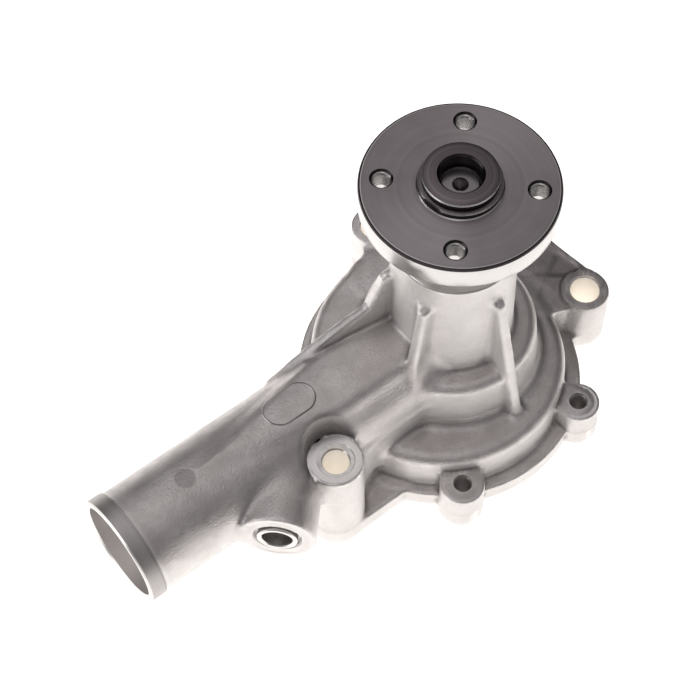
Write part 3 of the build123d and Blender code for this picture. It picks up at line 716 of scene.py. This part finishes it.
def cast_surface(name, light, dark, grain_mm=0.7, grain_depth=0.16, roughness=0.40, metal=0.86,
                 painted_wall_highlight=0.0, top_shade_by_x=0.0, with_marks_and_pillar_shade=False):
    """Blasted cast metal: mottled and grainy, with painted shade in its creases and on up-facing faces
    towards +x, a painted highlight on its walls, and brighter along its worn edges.
    """
    n = Nodes(name)
    place = n.place()
    mottle = n.noise(place, 14.0, 5.0)
    specks = n.noise(place, 2.2, 3.0)
    fine = n.noise(place, 0.8, 2.0)
    grain = n.noise(place, grain_mm, 6.0, 0.62)
    pits = n.add("ShaderNodeTexVoronoi", {"Vector": place, "Scale": 1 / (1.6 * MM)}).outputs["Distance"]
    shape = n.add("ShaderNodeNewGeometry").outputs
    upward = n.add("ShaderNodeSeparateXYZ", {0: shape["Normal"]}).outputs["Z"]
    flatness = n.math("ABSOLUTE", upward)

    colour = n.blend(n.span(mottle, 0.36, 0.66), dark, light)
    # Painted highlight: faces that face sideways are blended towards a near-white tone.
    colour = n.blend(n.span(flatness, 0.12, 0.55, painted_wall_highlight, 0.0), colour, PAINTED_WALL_HIGHLIGHT_TONE)
    speckled = n.span(flatness, 0.2, 0.8, 0.25, 1.0)
    colour = n.blend(n.math("MULTIPLY", speckled, n.span(specks, 0.52, 0.66, 0.0, 0.45)), colour, dark)
    colour = n.blend(n.math("MULTIPLY", speckled, n.span(fine, 0.54, 0.68, 0.0, 0.40)), colour, dark)
    # Painted shade: up-facing faces darken more the further they lie towards +x.
    across = n.add("ShaderNodeSeparateXYZ", {0: place}).outputs["X"]
    top_shade_by_x_mask = n.math("MULTIPLY", n.span(across, *TOP_SHADE_X_REACH, 0.0, top_shade_by_x), n.span(upward, 0.5, 0.9))
    colour = n.blend(top_shade_by_x_mask, colour, SHADE_AND_LINE_TONE)
    # Painted shade: concave creases (low pointiness) are blended towards the dark tone.
    colour = n.blend(n.span(shape["Pointiness"], 0.45, 0.493, 0.60, 0.0), colour, SHADE_AND_LINE_TONE)
    colour = n.blend(n.span(shape["Pointiness"], 0.515, 0.56, 0.0, 0.40), colour, WORN_TONE)

    coarse = n.span(n.noise(place, 26.0, 2.0), 0.42, 0.60)
    height = n.math("MULTIPLY_ADD", n.span(pits, 0.0, 0.45), n.math("MULTIPLY", coarse, 0.45), grain)
    normal = n.bump(height, grain_depth)
    if with_marks_and_pillar_shade:
        colour, normal = marks_and_pillar_shade(n, place, colour, normal)
    rough = n.span(n.noise(place, 4.0, 4.0), 0.3, 0.7, roughness - 0.08, roughness + 0.10)
    n.put(n.shader.inputs["Metallic"], n.span(flatness, 0.12, 0.55, metal * 0.6, metal))
    return n.finish(colour, rough, normal)


def turned_surface(name, light, dark, roughness, rings_mm=0.35, ring_depth=0.012, anisotropy=0.6):
    """Metal turned on a lathe: fine rings about the cut's own axis."""
    n = Nodes(name)
    place = n.place()
    radius = n.add("ShaderNodeAttribute", attribute_name="turn_radius").outputs["Fac"]
    line = n.add("ShaderNodeCombineXYZ", {"X": radius, "Y": 0.0, "Z": 0.0}).outputs[0]
    rings = n.add("ShaderNodeTexNoise", {
        "Vector": line, "Scale": 1 / rings_mm, "Detail": 5.0, "Roughness": 0.7}).outputs["Fac"]
    bands = n.add("ShaderNodeTexNoise", {"Vector": line, "Scale": 0.45, "Detail": 2.0}).outputs["Fac"]
    smear = n.noise(place, 9.0, 5.0)
    colour = n.blend(n.span(bands, 0.35, 0.65), dark, light)
    colour = n.blend(n.span(smear, 0.52, 0.75, 0.0, 0.25), colour, dark)
    rough = n.span(n.math("ADD", n.math("MULTIPLY", rings, 0.6), n.math("MULTIPLY", smear, 0.4)),
                   0.3, 0.7, roughness - 0.07, roughness + 0.09)
    scratches = n.noise(place, 0.5, 3.0)
    height = n.math("MULTIPLY_ADD", scratches, 0.25, rings)
    normal = n.bump(height, ring_depth)
    return n.finish(colour, rough, normal, Metallic=1.0, Anisotropic=anisotropy, Anisotropic_Rotation=0.25)


def smooth_surface(name, light, dark, roughness, grain_mm, grain_depth, metal=0.0, **fixed):
    """Rubber, plastic, ceramic or plain metal with a fine grain."""
    n = Nodes(name)
    place = n.place()
    grain = n.noise(place, grain_mm, 5.0)
    cloud = n.noise(place, grain_mm * 9, 4.0)
    colour = n.blend(n.span(cloud, 0.38, 0.64), dark, light)
    rough = n.span(n.math("ADD", n.math("MULTIPLY", grain, 0.5), n.math("MULTIPLY", cloud, 0.5)),
                   0.35, 0.65, roughness - 0.06, roughness + 0.08)
    return n.finish(colour, rough, n.bump(grain, grain_depth), Metallic=metal, **fixed)


def glow(material, colour, strength):
    """Lets a wall in a deep hole shine faintly, as if the white ground showed through."""
    shader = material.node_tree.nodes["Principled BSDF"]
    shader.inputs["Emission Color"].default_value = colour
    shader.inputs["Emission Strength"].default_value = strength


# The cast skin gets a painted highlight on its walls, painted shade on its up-facing faces towards +x, and
# painted shade round the pillar's top.
CAST = cast_surface("cast_aluminium_skin", tone(0.68, 0.648, 0.643), tone(0.53, 0.498, 0.493), 0.8, 0.20,
                    painted_wall_highlight=0.5, top_shade_by_x=0.80, with_marks_and_pillar_shade=True)
# Painted light: a lighter, faintly glowing copy of the cored finish for the pipe bore near its open end.
MOUTH_PAINTED_LIGHT = cast_surface("cast_aluminium_mouth_painted_light", tone(0.82, 0.79, 0.77), tone(0.68, 0.65, 0.63),
                     0.7, 0.10, 0.5, 0.3)
glow(MOUTH_PAINTED_LIGHT, tone(1.0, 0.97, 0.95), 0.20)
CORE = cast_surface("cast_aluminium_core", tone(0.42, 0.40, 0.39), tone(0.27, 0.25, 0.24), 0.7, 0.16, 0.62)
MACHINED = turned_surface("machined_aluminium", tone(0.80, 0.78, 0.77), tone(0.66, 0.64, 0.63), 0.30)
# Painted shade: a darker copy of the machined finish for the threads in the low bosses.
TAPPED_PAINTED_SHADE = turned_surface("tapped_aluminium_painted_shade", tone(0.50, 0.475, 0.47), tone(0.32, 0.30, 0.295), 0.34)
DULL_MACHINED = turned_surface("dull_machined_aluminium", tone(0.60, 0.575, 0.57), tone(0.46, 0.44, 0.435),
                               0.42, 0.5, 0.03, 0.3)
PLATE_STEEL = turned_surface("turned_dark_steel", tone(0.38, 0.345, 0.36), tone(0.33, 0.30, 0.31), 0.36,
                             0.30, 0.005, 0.9)
# Painted shade: a near-black copy of the turned steel for the flange's edge chamfer, hub walls, bore and
# countersinks.
PAINTED_SHADE_STEEL = turned_surface("turned_steel_painted_shade", tone(0.06, 0.052, 0.055), tone(0.03, 0.026, 0.028), 0.30,
                            0.40, 0.010, 0.5)
HUB_STEEL = turned_surface("turned_hub_steel", tone(0.20, 0.175, 0.185), tone(0.12, 0.105, 0.11), 0.32,
                           0.35, 0.008, 0.6)
# Painted light: hole walls get a pale cream tone and a faint glow, as if lit by the white ground.
BORE_PAINTED_GLOW = smooth_surface("bore_painted_glow", tone(0.96, 0.925, 0.87), tone(0.90, 0.855, 0.79), 0.45,
                           0.8, 0.012, 0.05)
glow(BORE_PAINTED_GLOW, tone(1.0, 0.95, 0.87), 0.14)
RIM_STEEL = turned_surface("turned_bright_steel", tone(0.68, 0.67, 0.665), tone(0.54, 0.525, 0.52), 0.24,
                           0.30, 0.008, 0.3)
GROUND_STEEL = turned_surface("ground_shaft_steel", tone(0.32, 0.30, 0.305), tone(0.22, 0.20, 0.205), 0.24,
                              0.25, 0.006, 0.3)
BEARING_STEEL = smooth_surface("bearing_steel", tone(0.70, 0.70, 0.71), tone(0.58, 0.58, 0.59),
                               0.16, 0.5, 0.004, 1.0)
PRESSED_STEEL = smooth_surface("pressed_steel", tone(0.66, 0.64, 0.61), tone(0.54, 0.52, 0.49),
                               0.32, 0.6, 0.01, 1.0)
SPRING_STEEL = smooth_surface("spring_steel", tone(0.50, 0.50, 0.52), tone(0.38, 0.38, 0.40),
                              0.28, 0.4, 0.01, 1.0)
RUBBER = smooth_surface("black_rubber", tone(0.035, 0.034, 0.034), tone(0.018, 0.018, 0.019), 0.62, 0.4, 0.03)
CARBON = smooth_surface("lapped_carbon", tone(0.07, 0.07, 0.075), tone(0.045, 0.045, 0.05), 0.36, 0.3, 0.006)
CERAMIC = smooth_surface("lapped_ceramic", tone(0.84, 0.81, 0.76), tone(0.76, 0.73, 0.68), 0.22, 0.5, 0.003)
NYLON = smooth_surface("nylon_cage", tone(0.70, 0.62, 0.46), tone(0.60, 0.52, 0.38), 0.46, 0.5, 0.02)
CAST_IRON = cast_surface("cast_iron_skin", tone(0.24, 0.225, 0.215), tone(0.13, 0.12, 0.115), 0.8, 0.14, 0.55)


def wear(thing, *materials):
    """Gives a piece its materials."""
    thing.data.materials.clear()
    for material in materials:
        thing.data.materials.append(material)


def paint(thing, index):
    """Gives each face the finish of that number."""
    thing.data.polygons.foreach_set("material_index", np.asarray(index).astype(np.int32))


def settle(thing, body, slot_name, *nodes):
    """Hangs a new piece on the body it rides on and hides the CAD nodes it stands for; slot_name is not used.
    """
    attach(thing, body)
    if nodes:
        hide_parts(*nodes)


# ---------------- the casting
MARGIN = 4.0
ON_FIELD = 0.12
MOUTH_END = -120.0
points, quads = contour(
    housing, np.array(HOUSING_LOW) - MARGIN, np.array(HOUSING_HIGH) + MARGIN, GRID_STEP)
points = np.clip(points, np.array(HOUSING_LOW), np.array(HOUSING_HIGH))
casting = add_mesh("housing_casting", points, quads)
wear(casting, CAST, CORE, MACHINED, MOUTH_PAINTED_LIGHT)
centres, facing = face_centres(casting.data)
cx, cy, cz = centres.T
outside, cored = castings(cx, cy, cz), cores(cx, cy, cz)
skin, core, machined, mouth = range(4)
finish_index = np.where(np.abs(cored) < ON_FIELD, core, np.where(np.abs(outside) < ON_FIELD, skin, machined))
finish_index[cz < 0.05] = machined
# Faces round the pillar's top take the cast skin, so that its painted shade covers them.
finish_index[(disc(cx, cy, PILLAR, PILLAR_RADIUS + 6.0) < 0) & (cz > PILLAR_TOP + 0.4)] = skin
# Painted light: cored faces near the pipe's open end take the lighter, glowing finish.
finish_index[(finish_index == core) & (cx < MOUTH_END)] = mouth
paint(casting, finish_index)
bottom_rings = casting.data.attributes.new("turn_radius", "FLOAT", "POINT")
bottom_rings.data.foreach_set("value", np.hypot(points[:, 0], points[:, 1]))
casting.data.shade_smooth()
true_normals(casting.data, housing)
settle(casting, "housing", "cast_aluminium", "pump_housing")


# ---------------- machined seats and mouths
THREAD_PITCH = 1.25
THREAD_DEPTH = 0.42


def threaded_wall(radius, top, bottom):
    """Profile corners down a tapped hole, from its top to its bottom."""
    corners = []
    turns = int((top - bottom) / THREAD_PITCH)
    for turn in range(turns):
        height = top - turn * THREAD_PITCH
        corners.append((radius, height))
        corners.append((radius + THREAD_DEPTH, height - THREAD_PITCH / 2))
    corners.append((radius, bottom))
    return corners


def seat_profile(outer, hole, top, tapped):
    """A machined boss top and its hole, as a thin lining in the casting."""
    lining = hole + SEAT_WALL + (THREAD_DEPTH if tapped else 0.15)
    mouth = [(lining, 0.3), (lining, top - 1.6), (outer - 1.1, top - 1.6), (outer - 1.1, top - 0.15),
             (outer - 0.95, top + 0.04), (hole + 0.7, top + 0.04)]
    if tapped:
        return mouth + threaded_wall(hole, top - 0.7, 0.4)
    return mouth + [(hole, top - 0.6), (hole, 0.3)]


def pillar_profile():
    """The pillar's seat, sunk a little below its top ring."""
    hole = mount_radius("pillar_bolt_hole")
    floor = PILLAR_TOP - PILLAR_SEAT_DEPTH
    return [(hole + 0.6, 0.3), (hole + 0.6, floor - 1.5), (PILLAR_RADIUS - 1.1, floor - 1.5),
            (PILLAR_RADIUS - 1.1, PILLAR_TOP - 0.15), (PILLAR_RADIUS - 0.95, PILLAR_TOP + 0.04),
            (PILLAR_SEAT_RADIUS + 0.25, PILLAR_TOP + 0.04), (PILLAR_SEAT_RADIUS, PILLAR_TOP - 0.25),
            (PILLAR_SEAT_RADIUS, floor), (hole + 0.4, floor), (hole, floor - 0.4), (hole, 0.3)]


UP = (0, 0, 1)
lug_seats = [seat_profile(LUG_RING_RADIUS, mount_radius(name), LUG_TOP, False)
             for name in ("right_lug_hole", "rear_lug_hole")]
low_seat = seat_profile(LOW_BOSS_RADIUS, mount_radius("low_boss_holes"), LOW_BOSS_TOP, True)
seats = [revolved("seat", profile, (place.x, place.y, 0), UP, segments) for place, profile, segments in (
    (PILLAR, pillar_profile(), 96), (RIGHT_LUG, lug_seats[0], 96), (REAR_LUG, lug_seats[1], 96),
    (LEFT_BOSS, low_seat, 80), (RIGHT_BOSS, low_seat, 80))]
bolt_seats = tidy_turned(joined("bolt_seats", seats))
wear(bolt_seats, MACHINED, BORE_PAINTED_GLOW, TAPPED_PAINTED_SHADE)
centres, facing = face_centres(bolt_seats.data)
inside_hole = [disc(centres[:, 0], centres[:, 1], place, radius) < 0 for place, radius, top in SEATS]
# Walls of the pillar and lug holes take the pale, glowing painted-light finish.
in_bore = np.any(inside_hole[:3], 0) & (np.abs(facing[:, 2]) < 0.3)
# Threads of the low bosses take the darker painted-shade finish.
in_thread = np.any(inside_hole[3:], 0)
paint(bolt_seats, in_bore + 2 * in_thread)
settle(bolt_seats, "housing", "cast_aluminium")

port_mouth = PORT_ROOT + PORT_DIRECTION * PORT_REACH
port_seat = tidy_turned(revolved("port_seat", [
    (PORT_RADII[1] - 0.75, -1.4), (PORT_RADII[1] - 0.75, -0.15), (PORT_RADII[1] - 0.6, 0.04),
    (PORT_RADII[1] - 2.0, 0.04), (PORT_RADII[1] - 2.3, -0.25), (PORT_GROOVE_RADIUS + 0.4, -0.25),
    (PORT_GROOVE_RADIUS, -0.65), (PORT_GROOVE_RADIUS, -PORT_GROOVE_DEPTH),
    (PORT_NOSE_RADIUS, -PORT_GROOVE_DEPTH), (PORT_NOSE_RADIUS, PORT_NOSE_PROUD - 0.3),
    (PORT_NOSE_RADIUS - 0.3, PORT_NOSE_PROUD), (PORT_BORE + 0.45, PORT_NOSE_PROUD),
    (PORT_BORE, PORT_NOSE_PROUD - 0.45), (PORT_BORE, -14.0), (PORT_BORE + 0.6, -14.0),
    (PORT_BORE + 0.6, -PORT_GROOVE_DEPTH - 0.7), (PORT_GROOVE_RADIUS + 0.6, -PORT_GROOVE_DEPTH - 0.7),
    (PORT_GROOVE_RADIUS + 0.6, -1.4)], port_mouth, PORT_DIRECTION, 128))
wear(port_seat, MACHINED, DULL_MACHINED)
centres, facing = face_centres(port_seat.data)
from_axis = centres - np.array(port_mouth)
from_axis -= np.outer(from_axis @ np.array(PORT_DIRECTION), np.array(PORT_DIRECTION))
from_axis = np.linalg.norm(from_axis, axis=1)
port_land = (from_axis > PORT_GROOVE_RADIUS) & (from_axis < PORT_RADII[1] - 2.2)
paint(port_seat, port_land)
settle(port_seat, "housing", "cast_aluminium")

band_end = BAND_LENGTH + 0.7
pipe_band = tidy_turned(revolved("pipe_band", [
    (PIPE_BORE, -band_end), (PIPE_BORE, -0.7), (PIPE_BORE + 0.7, 0.0), (BAND_RADIUS - 0.6, 0.0),
    (BAND_RADIUS, -0.6), (BAND_RADIUS, -BAND_LENGTH + 1.0), (BAND_RADIUS - 0.25, -BAND_LENGTH + 0.9),
    (BAND_RADIUS - 0.25, -BAND_LENGTH + 0.5), (BAND_RADIUS, -BAND_LENGTH + 0.4), (BAND_RADIUS, -BAND_LENGTH),
    (PIPE_RADIUS - 0.1, -BAND_LENGTH - 0.2), (PIPE_RADIUS - 0.1, -band_end)],
    (PIPE_END, 0, PIPE_Z), (-1, 0, 0), 224))
wear(pipe_band, DULL_MACHINED, MACHINED)
centres, facing = face_centres(pipe_band.data)
paint(pipe_band, facing[:, 0] < -0.5)
settle(pipe_band, "housing", "cast_aluminium")

neck_rim = tidy_turned(revolved("neck_rim", [
    (BEARING_BORE + 0.05, NECK_TOP - 3), (BEARING_BORE + 0.05, NECK_TOP - 0.8),
    (BEARING_BORE + 0.85, NECK_TOP), (NECK_RADIUS - 0.8, NECK_TOP), (NECK_RADIUS + 0.02, NECK_TOP - 0.8),
    (NECK_RADIUS + 0.02, NECK_TOP - 1.4), (NECK_RADIUS - 0.9, NECK_TOP - 3)], (0, 0, 0), UP, 192))
wear(neck_rim, MACHINED)
settle(neck_rim, "housing", "cast_aluminium")


# ---------------- the drive flange
PLATE_RADIUS = FLANGE_HIGH.x
PLATE_TOP = mount_place("pulley_face").z
PLATE_UNDERSIDE = 134.5
SKIRT_RADIUS = 16.0
SKIRT_BOTTOM = FLANGE_LOW.z
HUB_TOP = FLANGE_HIGH.z
HUB_RADIUS = mount_radius("pulley_pilot")
HUB_RING_RADIUS = 16.4
HUB_BORE = 8.35
HUB_FLAT_ANGLE = -172.0
SHAFT_RADIUS = 8.0
SHAFT_TOP = node_box("pump_shaft")[1].z
BOLT_CIRCLE = MOUNTS["pulley_bolts"]["dims"]["pcd_mm"] / 2
BOLT_PHASE = 47.1
BOLT_SPOTS = [at_angle(BOLT_PHASE + 90 * quarter, BOLT_CIRCLE) for quarter in range(4)]
TAP_RADIUS = mount_radius("pulley_bolts")
HOLE_MOUTH = 4.65


def plate_rings():
    """The plate's top face as fine rings from its edge to the hub."""
    inner = np.linspace(PLATE_RADIUS - 1.25, HUB_RING_RADIUS + 0.5, 24)
    return [(radius, PLATE_TOP) for radius in (PLATE_RADIUS - 1.0, *inner)]


flange = revolved("flange", [
    (SHAFT_RADIUS, SKIRT_BOTTOM + 0.8), (SHAFT_RADIUS + 0.8, SKIRT_BOTTOM),
    (SKIRT_RADIUS - 1.2, SKIRT_BOTTOM), (SKIRT_RADIUS, SKIRT_BOTTOM + 1.2),
    (SKIRT_RADIUS, PLATE_UNDERSIDE - 1.8),
    (SKIRT_RADIUS + 0.5, PLATE_UNDERSIDE - 0.6), (SKIRT_RADIUS + 1.8, PLATE_UNDERSIDE),
    (PLATE_RADIUS - 0.9, PLATE_UNDERSIDE), (PLATE_RADIUS - 0.25, PLATE_UNDERSIDE + 0.25),
    (PLATE_RADIUS, PLATE_UNDERSIDE + 0.9), (PLATE_RADIUS, PLATE_TOP - 1.0),
    (PLATE_RADIUS - 0.3, PLATE_TOP - 0.28), *plate_rings(),
    (HUB_RING_RADIUS, PLATE_TOP + 0.4), (HUB_RING_RADIUS, PLATE_TOP + 2.4),
    (HUB_RING_RADIUS - 0.3, PLATE_TOP + 3.0), (HUB_RING_RADIUS - 0.9, PLATE_TOP + 3.2),
    (HUB_RADIUS - 1.0, PLATE_TOP + 3.2), (HUB_RADIUS - 1.0, PLATE_TOP + 4.2),
    (HUB_RADIUS - 0.3, PLATE_TOP + 4.25), (HUB_RADIUS, PLATE_TOP + 4.6), (HUB_RADIUS, HUB_TOP - 0.9),
    (HUB_RADIUS - 0.3, HUB_TOP - 0.25), (HUB_RADIUS - 1.0, HUB_TOP), (HUB_BORE + 0.9, HUB_TOP),
    (HUB_BORE, HUB_TOP - 0.9), (HUB_BORE, SHAFT_TOP + 0.05), (SHAFT_RADIUS, SHAFT_TOP + 0.05)],
    (0, 0, 0), UP, 288)
tidy_turned(flange)
for spot in BOLT_SPOTS:
    drill = tidy_turned(revolved("drill", [
        (0.001, PLATE_UNDERSIDE - 2), (TAP_RADIUS + THREAD_DEPTH, PLATE_UNDERSIDE - 2),
        (TAP_RADIUS + THREAD_DEPTH, PLATE_TOP - HOLE_MOUTH + TAP_RADIUS + THREAD_DEPTH),
        (HOLE_MOUTH + 0.6, PLATE_TOP + 0.6), (0.001, PLATE_TOP + 0.6)], (*spot, 0), UP, 72))
    cut(flange, drill)
flat_middle = at_angle(HUB_FLAT_ANGLE, HUB_RING_RADIUS + 4.3)
flat_low, flat_high = PLATE_TOP + 0.4, PLATE_TOP + 3.4
corners = [(x, y, z) for x in (-5, 5) for y in (-7, 7) for z in (flat_low, flat_high)]
turn = Matrix.Rotation(math.radians(HUB_FLAT_ANGLE), 3, "Z")
corners = [turn @ Vector(corner) + Vector((*flat_middle, 0)) for corner in corners]
miller = add_mesh("miller", corners, [
    (0, 1, 3, 2), (4, 6, 7, 5), (0, 4, 5, 1), (2, 3, 7, 6), (0, 2, 6, 4), (1, 5, 7, 3)])
cut(flange, miller)
flange.data.shade_smooth()
flange.data.set_sharp_from_angle(angle=math.radians(CORNER_ANGLE))
flange_points = np.empty(len(flange.data.vertices) * 3)
flange.data.vertices.foreach_get("co", flange_points)
flange_points = flange_points.reshape(-1, 3) / MM
if "turn_radius" in flange.data.attributes:
    flange.data.attributes.remove(flange.data.attributes["turn_radius"])
rings = flange.data.attributes.new("turn_radius", "FLOAT", "POINT")
rings.data.foreach_set("value", np.hypot(flange_points[:, 0], flange_points[:, 1]))
wear(flange, PLATE_STEEL, RIM_STEEL, PAINTED_SHADE_STEEL, HUB_STEEL)
centres, facing = face_centres(flange.data)
reach = np.hypot(centres[:, 0], centres[:, 1])
high, upward = centres[:, 2] > PLATE_TOP + 0.05, facing[:, 2]
plate = ~high & (upward > 0.9) & (reach < PLATE_RADIUS - 1.25)
edge = (centres[:, 2] > PLATE_TOP - 1.0) & (upward > 0.1) & (upward < 0.985) & (reach > PLATE_RADIUS - 1.0)
hub_top = high & (upward > 0.9)
hub_wall = high & ((np.abs(upward) < 0.25) | (reach < HUB_BORE + 1.0))
face_x, face_y = centres[:, 0], centres[:, 1]
near_bolt = np.any([disc(face_x, face_y, spot, HOLE_MOUTH + 0.05) < 0 for spot in BOLT_SPOTS], 0)
countersink = near_bolt & (upward > 0.1) & (upward < 0.9)
# Painted shade: the edge chamfer, the hub's walls and bore, and the countersinks take the near-black steel.
paint(flange, np.select([edge | hub_wall | countersink, plate, hub_top], [2, 0, 3], 1))
settle(flange, "rotor", "turned_steel", "drive_flange")

thread_top = PLATE_TOP - HOLE_MOUTH + TAP_RADIUS
thread_bottom = PLATE_UNDERSIDE + 0.3
thread_back = TAP_RADIUS + THREAD_DEPTH + 0.1
thread_profile = [(thread_back, thread_bottom), (thread_back, thread_top + THREAD_DEPTH),
                  *threaded_wall(TAP_RADIUS, thread_top, thread_bottom)]
threads = [revolved("thread", thread_profile, (*spot, 0), UP, 72) for spot in BOLT_SPOTS]
flange_threads = tidy_turned(joined("flange_threads", threads))
wear(flange_threads, RIM_STEEL)
settle(flange_threads, "rotor", "turned_steel")


# ---------------- CAD nodes that stay
KEPT = {
    "bearing_outer_race": BEARING_STEEL, "bearing_front_seal": RUBBER, "bearing_rear_seal": RUBBER,
    "seal_case": PRESSED_STEEL, "seal_bellows": RUBBER, "seal_spring": SPRING_STEEL,
    "seal_spring_holder": PRESSED_STEEL, "seal_drive_ring": PRESSED_STEEL, "seal_carbon_ring": CARBON,
    "pump_shaft": GROUND_STEEL, "slinger": RUBBER, "impeller": CAST_IRON, "seal_seat_ring": CERAMIC,
    "seal_seat_cup": RUBBER, "front_balls": BEARING_STEEL, "front_cage": NYLON, "rear_balls": BEARING_STEEL,
    "rear_cage": NYLON,
}
for node, material in KEPT.items():
    kept = frame["nodes"][node]
    for material_slot in kept.material_slots:
        material_slot.material = material


# ---------------- stage, light and camera
FLOOR_GLOW = 1.10
FLOOR_GLOW_FAR = 0.25
FLOOR_GLOW_SEEN = 0.9


def floor_material():
    """A pale floor that shines a little by itself, so that it stays white."""
    n = Nodes("pale_floor")
    place = n.place()
    colour = n.blend(n.noise(place, 60.0, 3.0), tone(0.90, 0.90, 0.90), tone(0.93, 0.93, 0.93))
    seen = n.add("ShaderNodeLightPath").outputs["Is Camera Ray"]
    away = n.add("ShaderNodeVectorMath", {0: place}, operation="LENGTH").outputs["Value"]
    glow = n.span(away, 0.22, 0.75, FLOOR_GLOW, FLOOR_GLOW_FAR)
    n.put(n.shader.inputs["Emission Color"], tone(1.0, 0.965, 0.93))
    lift = n.math("MULTIPLY", n.math("SUBTRACT", FLOOR_GLOW_SEEN, glow), seen)
    n.put(n.shader.inputs["Emission Strength"], n.math("ADD", glow, lift))
    return n.finish(colour, 0.9, n.bump(n.noise(place, 3.0), 0.02, 0.2))


FLOOR_RADII = (400.0, 4000.0)
FLOOR_SIDES = 96
floor_rings = [
    (radius * math.cos(turned), radius * math.sin(turned), 0.0)
    for radius in FLOOR_RADII for turned in np.linspace(0, 2 * math.pi, FLOOR_SIDES, endpoint=False)]
floor_faces = [tuple(range(FLOOR_SIDES))] + [
    (FLOOR_SIDES + side, FLOOR_SIDES + (side + 1) % FLOOR_SIDES, (side + 1) % FLOOR_SIDES, side)
    for side in range(FLOOR_SIDES)]
floor = add_mesh("floor", floor_rings, floor_faces)
wear(floor, floor_material())

SKY = ((0.0, 0.02), (0.30, 0.03), (0.58, 0.38), (0.86, 0.77), (1.0, 0.98))
SKY_SIDE = (0.79, -0.61, 0.0)
SKY_RIGHT = (-0.10, 0.16, 1.12, 0.55)
SKY_LEFT = (-0.75, -0.22, 0.30, 1.0)
world = bpy.data.worlds.new("studio")
world.use_nodes = True
bpy.context.scene.world = world
sky = Tree(world.node_tree)
direction = sky.add("ShaderNodeTexCoord").outputs["Generated"]
height = sky.add("ShaderNodeSeparateXYZ", {0: direction}).outputs["Z"]
ramp = sky.add("ShaderNodeValToRGB", {"Fac": height})
while len(ramp.color_ramp.elements) < len(SKY):
    ramp.color_ramp.elements.new(0.5)
for stop, (position, level) in zip(ramp.color_ramp.elements, SKY):
    stop.position = position
    stop.color = (level, level * 0.97, level * 0.97, 1.0)
side = sky.add("ShaderNodeVectorMath", {0: direction, 1: SKY_SIDE}, operation="DOT_PRODUCT").outputs["Value"]
share = sky.math("MULTIPLY", sky.span(side, *SKY_RIGHT), sky.span(side, *SKY_LEFT))
shaded = sky.add("ShaderNodeVectorMath", {0: ramp.outputs["Color"], "Scale": share}, operation="SCALE")
seen = sky.add("ShaderNodeLightPath").outputs["Is Camera Ray"]
backdrop = sky.blend(seen, shaded.outputs["Vector"], tone(1.0, 1.0, 1.0))
sky.put(sky.tree.nodes["Background"].inputs["Color"], backdrop)


def softbox(name, place, target, width, height, power):
    """A rectangular soft light aimed at a point."""
    light = bpy.data.lights.new(name, "AREA")
    light.shape = "RECTANGLE"
    light.size, light.size_y = width, height
    light.energy = power
    thing = bpy.data.objects.new(name, light)
    thing.location = place
    thing.rotation_mode = "QUATERNION"
    thing.rotation_quaternion = (Vector(target) - Vector(place)).to_track_quat("-Z", "Y")
    bpy.context.scene.collection.objects.link(thing)


MIDDLE = (-0.02, 0.0, 0.06)
softbox("left_box", (-0.75, 0.30, 0.30), MIDDLE, 0.8, 0.5, 2.5)
softbox("near_box", (0.45, -0.75, 0.30), MIDDLE, 0.9, 0.4, 0.3)

CAMERA_AZIMUTH = -37.8
CAMERA_ELEVATION = 59.2
CAMERA_DISTANCE = 0.76
CAMERA_LENS = 99.9
CAMERA_TARGET = Vector((-0.0574, -0.0060, 0.0908))
azimuth, elevation = math.radians(CAMERA_AZIMUTH), math.radians(CAMERA_ELEVATION)
level = math.cos(elevation)
back = Vector((math.sin(azimuth) * level, -math.cos(azimuth) * level, math.sin(elevation)))
camera_data = bpy.data.cameras.new("camera")
camera_data.lens = CAMERA_LENS
camera_data.sensor_width = 36.0
camera = bpy.data.objects.new("camera", camera_data)
camera.location = CAMERA_TARGET + back * CAMERA_DISTANCE
camera.rotation_mode = "QUATERNION"
camera.rotation_quaternion = (-back).to_track_quat("-Z", "Y")
bpy.context.scene.collection.objects.link(camera)
bpy.context.scene.camera = camera
bpy.context.scene.view_settings.view_transform = "Standard"
